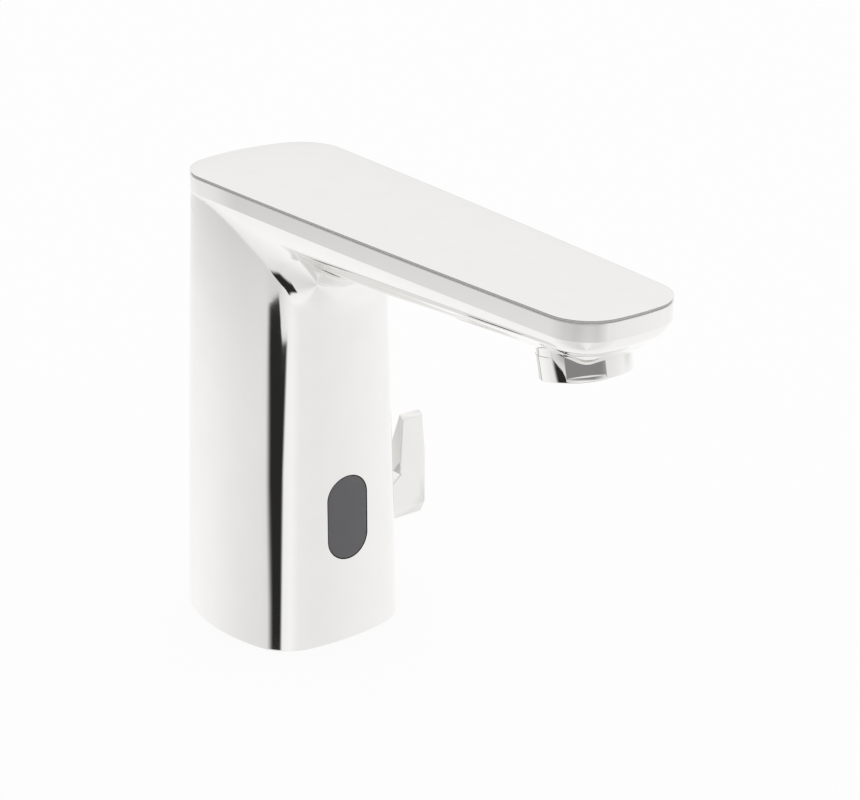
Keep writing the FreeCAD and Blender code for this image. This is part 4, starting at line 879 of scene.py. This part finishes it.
# Smoked acrylic: a dark neutral grey right through, glossy, with the faintest haze 6 mm across.
smoked, tree, place = new_material("smoked_acrylic")
haze = add(tree, "ShaderNodeTexNoise", {"Scale": per_mm(6.0), "Detail": 2.0}, {"Vector": place})
tint = add(tree, "ShaderNodeMix", {"data_type": "RGBA", 6: linear("#57575a"), 7: linear("#5c5c5e")},
           {0: haze.outputs["Fac"]})
rough = add(tree, "ShaderNodeMapRange", {"To Min": 0.1, "To Max": 0.16}, {"Value": haze.outputs["Fac"]})
shader = add(tree, "ShaderNodeBsdfPrincipled",
             links={"Base Color": tint.outputs[2], "Roughness": rough.outputs["Result"]})
add(tree, "ShaderNodeOutputMaterial", links={"Surface": shader.outputs["BSDF"]})
window = softened("sensor_window_polished", "sensor_window", 0.3, smoked)
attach(window, "tap")
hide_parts("sensor_window")
dress(black_rubber, "window_gasket")

# ------------------------------------------------------------------ spout tube and aerator
# A nylon tube carries the mixed water along the arm to the outlet in the tip, sealed by O-rings.
# There a chromed brass collar with two spanner flats holds a woven screen and a white flow insert.
dress(grey_nylon, "spout_tube")
dress(black_rubber, "tube_seals", "aerator_seal")
dress(acetal, "aerator_insert")


def at_outlet(s, t, height):
    """A point s to the right of the outlet's axis and t forward of it, this far above the collar's edge."""
    x, y, z = on_outlet(height)
    return x + s, y - t * math.cos(TILT), z + t * math.sin(TILT)


FLATS = 22.0            # spanner size of the collar
FLATS_TURN = math.radians(39.0)     # one flat faces this far from forward towards the left
LEDGE = 1.2             # full round left below the flats
INSERT_SEAT = 1.6
COLLAR_EDGE = ((11.72, 0.0), (11.86, 0.04), (11.96, 0.14), (12.0, 0.28), (12.0, 6.3), (11.85, 6.45),
               (11.85, 9.0))    # radius and height, from the lower rim up


def outlet_circle(radius, height):
    """A circle round the outlet's axis."""
    turns = [2 * math.pi * (i + 0.5) / 144 for i in range(144)]
    return [at_outlet(radius * math.cos(a), radius * math.sin(a), height) for a in turns]


def flat_loop(side, height):
    """A block beyond the first or the opposite spanner flat, cut across at this height."""
    away, aside = math.cos(FLATS_TURN), math.sin(FLATS_TURN)
    corners = ((FLATS / 2, -9.0), (FLATS / 2, 9.0), (14.0, 9.0), (14.0, -9.0))
    return [at_outlet(side * (-aside * out + away * along), side * (away * out + aside * along), height)
            for out, along in corners]


collar = loft("aerator_collar", [outlet_circle(r, h) for r, h in COLLAR_EDGE])
cut(collar, [loft("insert_bore", [outlet_circle(9.65, h) for h in (INSERT_SEAT, 10.0)]),
             loft("nozzle_bore", [outlet_circle(8.45, h) for h in (-1.0, INSERT_SEAT + 1.0)])])
cut(collar, [loft("flat", [flat_loop(side, h) for h in (LEDGE, 6.45)]) for side in (1, -1)], finish=0)
smooth_sides(collar, 30)
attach(collar, "tap")
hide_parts("aerator_housing")

# the woven screen: wires both ways across the bore, each bent over and under the ones that it meets
SCREEN_RADIUS = 9.2
SCREEN_PITCH = 0.8
SCREEN_HEIGHT = 8.74    # on the outlet's axis
SCREEN_WIRES = 11       # on each side of the middle, both ways
RIM_POINTS = 120
tree, given, out = growth("woven_screen", ("Lift", "Wire radius"))
way = add(tree, "GeometryNodeInputNamedAttribute", {"data_type": "FLOAT", "Name": "mark"})
wires = add(tree, "GeometryNodeMeshToCurve", links={0: given["Geometry"]})
lift = add(tree, "ShaderNodeMath", {"operation": "MULTIPLY"}, {0: way.outputs[0], 1: given["Lift"]})
axis = add(tree, "ShaderNodeVectorMath", {"operation": "SCALE", 0: (0.0, math.sin(TILT), math.cos(TILT))},
           {"Scale": lift.outputs[0]})
wires = add(tree, "GeometryNodeSetPosition", links={"Geometry": wires.outputs[0], "Offset": axis.outputs[0]})
ring = add(tree, "GeometryNodeCurvePrimitiveCircle", {"Resolution": 8}, {"Radius": given["Wire radius"]})
wires = add(tree, "GeometryNodeCurveToMesh", {"Fill Caps": True},
            {"Curve": wires.outputs[0], "Profile Curve": ring.outputs[0]})
end_growth(tree, wires, stainless, out)
points, edges, marks = [], [], []
for way in (1, -1):
    for k in range(-SCREEN_WIRES, SCREEN_WIRES + 1):
        across = k * SCREEN_PITCH
        reach = math.sqrt(SCREEN_RADIUS ** 2 - across ** 2)
        steps = max(2, round(reach * 8 / SCREEN_PITCH))
        for i in range(steps + 1):
            along = -reach + 2 * reach * i / steps
            s, t = (along, across) if way > 0 else (across, along)
            if i:
                edges.append((len(points) - 1, len(points)))
            points.append(at_outlet(s, t, SCREEN_HEIGHT))
            marks.append(way * math.cos(math.pi * s / SCREEN_PITCH) * math.cos(math.pi * t / SCREEN_PITCH))
rim_start = len(points)
for i in range(RIM_POINTS):
    a = 2 * math.pi * i / RIM_POINTS
    edges.append((rim_start + i, rim_start + (i + 1) % RIM_POINTS))
    points.append(at_outlet(SCREEN_RADIUS * math.cos(a), SCREEN_RADIUS * math.sin(a), SCREEN_HEIGHT))
    marks.append(0.0)
screen = grown("aerator_screen_woven", points, edges, tree, {"Lift": 0.11, "Wire radius": 0.11}, marks)
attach(screen, "tap")
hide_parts("aerator_screen")

# the raised rim moulded round each jet of the flow insert
tree, given, out = growth("jet_rims", ("Rim radius", "Rim wire"))
ring = add(tree, "GeometryNodeCurvePrimitiveCircle", {"Resolution": 24}, {"Radius": given["Rim radius"]})
wire = add(tree, "GeometryNodeCurvePrimitiveCircle", {"Resolution": 10}, {"Radius": given["Rim wire"]})
rim = add(tree, "GeometryNodeCurveToMesh",
          links={"Curve": ring.outputs[0], "Profile Curve": wire.outputs[0]})
placed = add(tree, "GeometryNodeInstanceOnPoints", {"Rotation": (-TILT, 0.0, 0.0)},
             {"Points": given["Geometry"], "Instance": rim.outputs[0]})
end_growth(tree, placed, acetal, out)
JET_PITCH = 2.1
JET_FACE = 0.08         # on the outlet's axis
jets = [at_outlet(0, 0, JET_FACE)]
for ring_number in (1, 2, 3):
    for i in range(6 * ring_number):
        a = 2 * math.pi * i / (6 * ring_number)
        reach = JET_PITCH * ring_number
        jets.append(at_outlet(reach * math.cos(a), reach * math.sin(a), JET_FACE))
rims = grown("aerator_jet_rims", jets, [], tree, {"Rim radius": 0.88, "Rim wire": 0.12})
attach(rims, "tap")

# ------------------------------------------------------------------ lever ring and temperature lever
# A round chromed brass cover screws over the cartridge where its spindle leaves the column, and the lever
# slides on the spindle over it. The lever is cast, ground flat, polished and plated; a grub screw holds it.
ring = softened("lever_ring_polished", "lever_ring", 0.3, chrome)
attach(ring, "tap")
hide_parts("lever_ring")
lever = softened("temperature_lever_polished", "temperature_lever", 0.3, chrome)
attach(lever, "lever")
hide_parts("temperature_lever")
dress(stainless, "lever_screw")

# ------------------------------------------------------------------ top cover
# A chromed plate with a thin rounded lip lies over the arm and the column on a grey silicone gasket,
# whose bead shows as the line round its edge. A tab at the back takes the grub screw that holds it down.
cover_verts, cover_faces = [], []


def cover_loop(inset, z):
    """One more loop of the cover, moved in from the head's outline, at height z."""
    start = len(cover_verts)
    cover_verts.extend(map(tuple, offset_loop(crease_loop, inset, z)))
    return list(range(start, len(cover_verts)))


COVER_TOP = 140.0
CROWN = 0.14            # the plate's polished top is this much higher in the middle
CROWN_WIDTH = 13.0
ACROSS = 26             # steps from side to side
# inset and height of the plate's underside, its step, the lip's underside and the lip's rounded edge
COVER_EDGE = ((2.75, 139.32), (0.95, 139.32), (0.95, 139.72), (0.22, 139.72), (0.11, 139.74), (0.06, 139.78),
              (0.08, COVER_TOP - CROWN - 0.05), (0.14, COVER_TOP - CROWN - 0.02), (0.24, COVER_TOP - CROWN))


def cover_top(x, y):
    """Height of the cover's top, rising from its edge."""
    depth = np.clip(-outline_distance(np.asarray(x, float), np.asarray(y, float), HEAD) / CROWN_WIDTH, 0, 1)
    return COVER_TOP - CROWN * (1 - depth) ** 2


lower = cover_loop(2.75, 138.6)
cover_faces.append(tuple(lower))
for inset, z in COVER_EDGE:
    above = cover_loop(inset, z)
    bridge(cover_faces, lower, above)
    lower = above
# the crowned top, in rows from one side to the other
count = len(lower)
rows = []
for k in range(count // 2 + 1):
    a, b = lower[k], lower[(count - k) % count]
    if a == b:
        rows.append([a] * (ACROSS + 1))
        continue
    share = np.linspace(0, 1, ACROSS + 1)[1:-1]
    share = 0.5 - 0.5 * np.cos(math.pi * share)
    pa, pb = np.array(cover_verts[a]), np.array(cover_verts[b])
    inner = pa + (pb - pa) * share[:, None]
    inner[:, 2] = cover_top(inner[:, 0], inner[:, 1])
    start = len(cover_verts)
    cover_verts.extend(map(tuple, inner))
    rows.append([a] + list(range(start, start + len(inner))) + [b])
for upper, low_row in zip(rows, rows[1:]):
    for a, b, c, d in zip(upper, upper[1:], low_row[1:], low_row):
        corners = [a]
        for v in (b, c, d):
            if v != corners[-1] and v != corners[0]:
                corners.append(v)
        if len(corners) > 2:
            cover_faces.append(tuple(corners))
cover = mesh_piece("top_cover_polished", cover_verts, cover_faces, (chrome, cast_brass))
# the tab hangs under the plate's back, with the grub screw's hole through it
tab = loft("cover_tab", block_loops((-4.0, 4.0), (17.2, 19.8), (132.5, 138.7)))
cut(tab, [loft("grub_hole", bar_loops((0, 16, GRUB_Z), (0, 21, GRUB_Z), GRUB_RADIUS, 32))])
made = bmesh.new()
made.from_mesh(cover.data)
made.from_mesh(tab.data)
made.to_mesh(cover.data)
made.free()
bpy.data.objects.remove(tab)
smooth_sides(cover, 24)
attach(cover, "tap")
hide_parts("top_cover")

# Grey silicone: plain pale grey and dull, dusty in its grain.
grey_silicone = grained("grey_silicone_bead", "#b4b4b2", "#c0c0be", 0.6, 0.01, {"Roughness": 0.6})
# inset and height of the gasket's section: flat under the plate, with a rounded bead in the seam
GASKET_SECTION = [(2.65, 139.0), (2.65, 139.3), (0.98, 139.3), (0.88, 139.36), (0.88, 139.6), (0.8, 139.69),
                  (0.42, 139.69), (0.3, 139.6), (0.27, 139.35), (0.3, 139.08), (0.36, 139.0)]
bead_verts = [tuple(p) for inset, z in GASKET_SECTION for p in offset_loop(crease_loop, inset, z)]
size = len(crease_loop)
bead_loops = [list(range(k * size, k * size + size)) for k in range(len(GASKET_SECTION))]
bead_faces = []
for k, loop in enumerate(bead_loops):
    bridge(bead_faces, loop, bead_loops[(k + 1) % len(bead_loops)])
bead = mesh_piece("cover_gasket_bead", bead_verts, bead_faces, (grey_silicone,))
smooth_sides(bead, 40)
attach(bead, "tap")
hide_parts("cover_gasket")
dress(stainless, "cover_grub_screw")

# ------------------------------------------------------------------ floor, light and camera
# A white table in a white studio. Chrome mirrors the studio and not the table's few centimetres:
# pale above and below, greyer at the horizon and in front on the left, where a black card hangs
# a little under the table's height. The polished corner of the column mirrors it as a dark band.
def stage_mesh(name, verts, faces, material):
    """A thing of the studio from points in metres. It isn't part of the tap."""
    mesh = bpy.data.meshes.new(name)
    mesh.from_pydata(verts, [], faces)
    mesh.materials.append(material)
    piece = in_scene(name, mesh)
    return piece


table, tree, place = new_material("white_studio_table")
light = add(tree, "ShaderNodeLightPath")
matt = add(tree, "ShaderNodeBsdfDiffuse", {"Color": linear("#f4f4f4")})
seen = add(tree, "ShaderNodeEmission", {"Color": linear("#ffffff"), "Strength": 1.0})
part = add(tree, "ShaderNodeMath", {"operation": "MULTIPLY", 1: 0.9}, {0: light.outputs["Is Camera Ray"]})
both = add(tree, "ShaderNodeMixShader", links={0: part.outputs[0], 1: matt.outputs[0], 2: seen.outputs[0]})
add(tree, "ShaderNodeOutputMaterial", links={"Surface": both.outputs[0]})
TABLE_RADIUS, TABLE_Z = 6.0, -0.0002    # metres, just under the foot
TABLE_SIDES = 90
turns = [2 * math.pi * i / TABLE_SIDES for i in range(TABLE_SIDES)]
round_table = [(TABLE_RADIUS * math.sin(a), TABLE_RADIUS * math.cos(a), TABLE_Z) for a in turns]
floor = stage_mesh("studio_table", round_table, [tuple(range(TABLE_SIDES - 1, -1, -1))], table)
floor.visible_glossy = False

card, tree, place = new_material("black_card")
fade = add(tree, "ShaderNodeAttribute", {"attribute_name": "fade"})
black = add(tree, "ShaderNodeEmission", {"Color": linear("#2a2a2a"), "Strength": 1.0})
clear = add(tree, "ShaderNodeBsdfTransparent")
both = add(tree, "ShaderNodeMixShader",
           links={0: fade.outputs["Fac"], 1: clear.outputs[0], 2: black.outputs[0]})
add(tree, "ShaderNodeOutputMaterial", links={"Surface": both.outputs[0]})
# The card is bent round the column at this radius. Each row has its height in metres and its left and
# right ends in degrees, and fades out at both. Its top is trimmed lower towards the right end.
CARD_MIDDLE = (-0.020, -0.023)
CARD_RADIUS = 0.3
CARD_ROWS = [(0.014, -99.0, -47.0), (-0.011, -98.0, -48.0), (-0.066, -93.0, -55.0), (-0.123, -83.0, -55.0),
             (-0.160, -80.0, -55.0)]
TOP_TRIM = 0.022
COLUMNS = 40
card_verts, card_fade, card_faces = [], [], []
for z, left, right in CARD_ROWS:
    for i in range(COLUMNS + 1):
        degrees = left - 10 + (right - left + 15) * i / COLUMNS
        a = math.radians(degrees)
        trimmed = TOP_TRIM * float(smooth(-72, -58, degrees)) if z > 0 else 0.0
        x, y = CARD_MIDDLE[0] + CARD_RADIUS * math.sin(a), CARD_MIDDLE[1] - CARD_RADIUS * math.cos(a)
        card_verts.append((x, y, z - trimmed))
        starts, stops = smooth(left - 8, left + 9, degrees), smooth(right - 3, right + 4, degrees)
        card_fade.append(float(starts * (1 - stops)))
for k in range(len(CARD_ROWS) - 1):
    for i in range(COLUMNS):
        a = k * (COLUMNS + 1) + i
        card_faces.append((a, a + 1, a + COLUMNS + 2, a + COLUMNS + 1))
dark = stage_mesh("black_card", card_verts, card_faces, card)
dark.data.attributes.new("fade", "FLOAT", "POINT").data.foreach_set("value", card_fade)
dark.visible_camera = dark.visible_diffuse = dark.visible_shadow = dark.visible_transmission = False

world = bpy.data.worlds.new("white_studio")
bpy.context.scene.world = world
world.use_nodes = True
tree = world.node_tree
tree.nodes.clear()


def set_greys(band, stops):
    """Gives a ramp its stops, each a place from 0 to 1 and a grey level from 0 to 255."""
    while len(band.elements) < len(stops):
        band.elements.new(0.5)
    for element, (where, grey) in zip(band.elements, stops):
        element.position = where
        element.color = linear("#" + "%02x" % grey * 3)


ray = add(tree, "ShaderNodeTexCoord").outputs["Generated"]
parts = add(tree, "ShaderNodeSeparateXYZ", links={0: ray})
level = add(tree, "ShaderNodeMapRange", {"From Min": -1.0, "From Max": 1.0}, {"Value": parts.outputs["Z"]})
# grey levels by height in degrees: the pale studio, and how strongly the grey horizon shows in it
PALE_BY_HEIGHT = [(-90, 240), (-60, 244), (-40, 247), (-19, 246), (5, 236), (24, 240), (50, 249), (90, 252)]
HORIZON_BY_HEIGHT = [(-24, 0), (-20, 34), (-18, 88), (-16, 150), (-13, 225), (-9, 255), (5, 255), (10, 190),
                     (14, 88), (18, 30), (22, 0)]
# the same by turn, in degrees from the front (0) to the right (90) and to the left (-90)
PALE_BY_TURN = [(-180, 255), (-163, 255), (-146, 251), (-134, 245), (-123, 239), (-112, 235), (-95, 230),
                (-70, 231), (-48, 251), (-35, 255), (-14, 243), (18, 241), (38, 246), (60, 253), (110, 255),
                (180, 255)]
HORIZON_BY_TURN = [(-180, 190), (-150, 205), (-128, 205), (-110, 190), (-80, 215), (-60, 250), (-20, 250),
                   (-4, 190), (8, 0), (62, 0), (80, 150), (180, 190)]


def heights(stops):
    """Stops for a ramp that runs with the sine of the height."""
    return [((math.sin(math.radians(a)) + 1) / 2, g) for a, g in stops]


def turns_round(stops):
    """Stops for a ramp that runs once round from the back."""
    return [((a + 180) / 360, g) for a, g in stops]


by_height = add(tree, "ShaderNodeValToRGB", links={"Fac": level.outputs["Result"]})
set_greys(by_height.color_ramp, heights(PALE_BY_HEIGHT))
horizon = add(tree, "ShaderNodeValToRGB", links={"Fac": level.outputs["Result"]})
set_greys(horizon.color_ramp, heights(HORIZON_BY_HEIGHT))
forward = add(tree, "ShaderNodeMath", {"operation": "MULTIPLY", 1: -1.0}, {0: parts.outputs["Y"]})
turned = add(tree, "ShaderNodeMath", {"operation": "ARCTAN2"},
             {0: parts.outputs["X"], 1: forward.outputs[0]})
share = add(tree, "ShaderNodeMapRange", {"From Min": -math.pi, "From Max": math.pi},
            {"Value": turned.outputs[0]})
depth = add(tree, "ShaderNodeValToRGB", links={"Fac": share.outputs["Result"]})
set_greys(depth.color_ramp, turns_round(HORIZON_BY_TURN))
by_turn = add(tree, "ShaderNodeValToRGB", links={"Fac": share.outputs["Result"]})
set_greys(by_turn.color_ramp, turns_round(PALE_BY_TURN))
pale = add(tree, "ShaderNodeMix", {"data_type": "RGBA", "blend_type": "MULTIPLY", 0: 1.0},
           {6: by_height.outputs["Color"], 7: by_turn.outputs["Color"]})
deep = add(tree, "ShaderNodeMath", {"operation": "MULTIPLY"},
           {0: horizon.outputs["Color"], 1: depth.outputs["Color"]})
studio = add(tree, "ShaderNodeMix", {"data_type": "RGBA", 7: linear("#7c7c7c")},
             {0: deep.outputs[0], 6: pale.outputs[2]})
light = add(tree, "ShaderNodeLightPath")
tint = add(tree, "ShaderNodeMix", {"data_type": "RGBA", 7: linear("#ffffff")},
           {0: light.outputs["Is Camera Ray"], 6: studio.outputs[2]})
back = add(tree, "ShaderNodeBackground", {"Strength": 1.12}, {"Color": tint.outputs[2]})
add(tree, "ShaderNodeOutputWorld", links={"Surface": back.outputs[0]})

camera = in_scene("photograph_camera", bpy.data.cameras.new("photograph_camera"))
camera.data.sensor_fit, camera.data.sensor_width, camera.data.lens = "HORIZONTAL", 36.0, 96.66
camera.data.clip_start, camera.data.clip_end = 0.01, 50.0
# where the photograph was taken from, and the point that it looks at, in metres
stand = np.array((-0.35364, -0.53254, 0.32968))
aim = np.array((0.01582, -0.0484, 0.07953))
camera.location = stand
camera.rotation_mode = "QUATERNION"
camera.rotation_quaternion = Vector(aim - stand).to_track_quat("-Z", "Y")
bpy.context.scene.camera = camera
bpy.context.scene.view_settings.view_transform = "Standard"
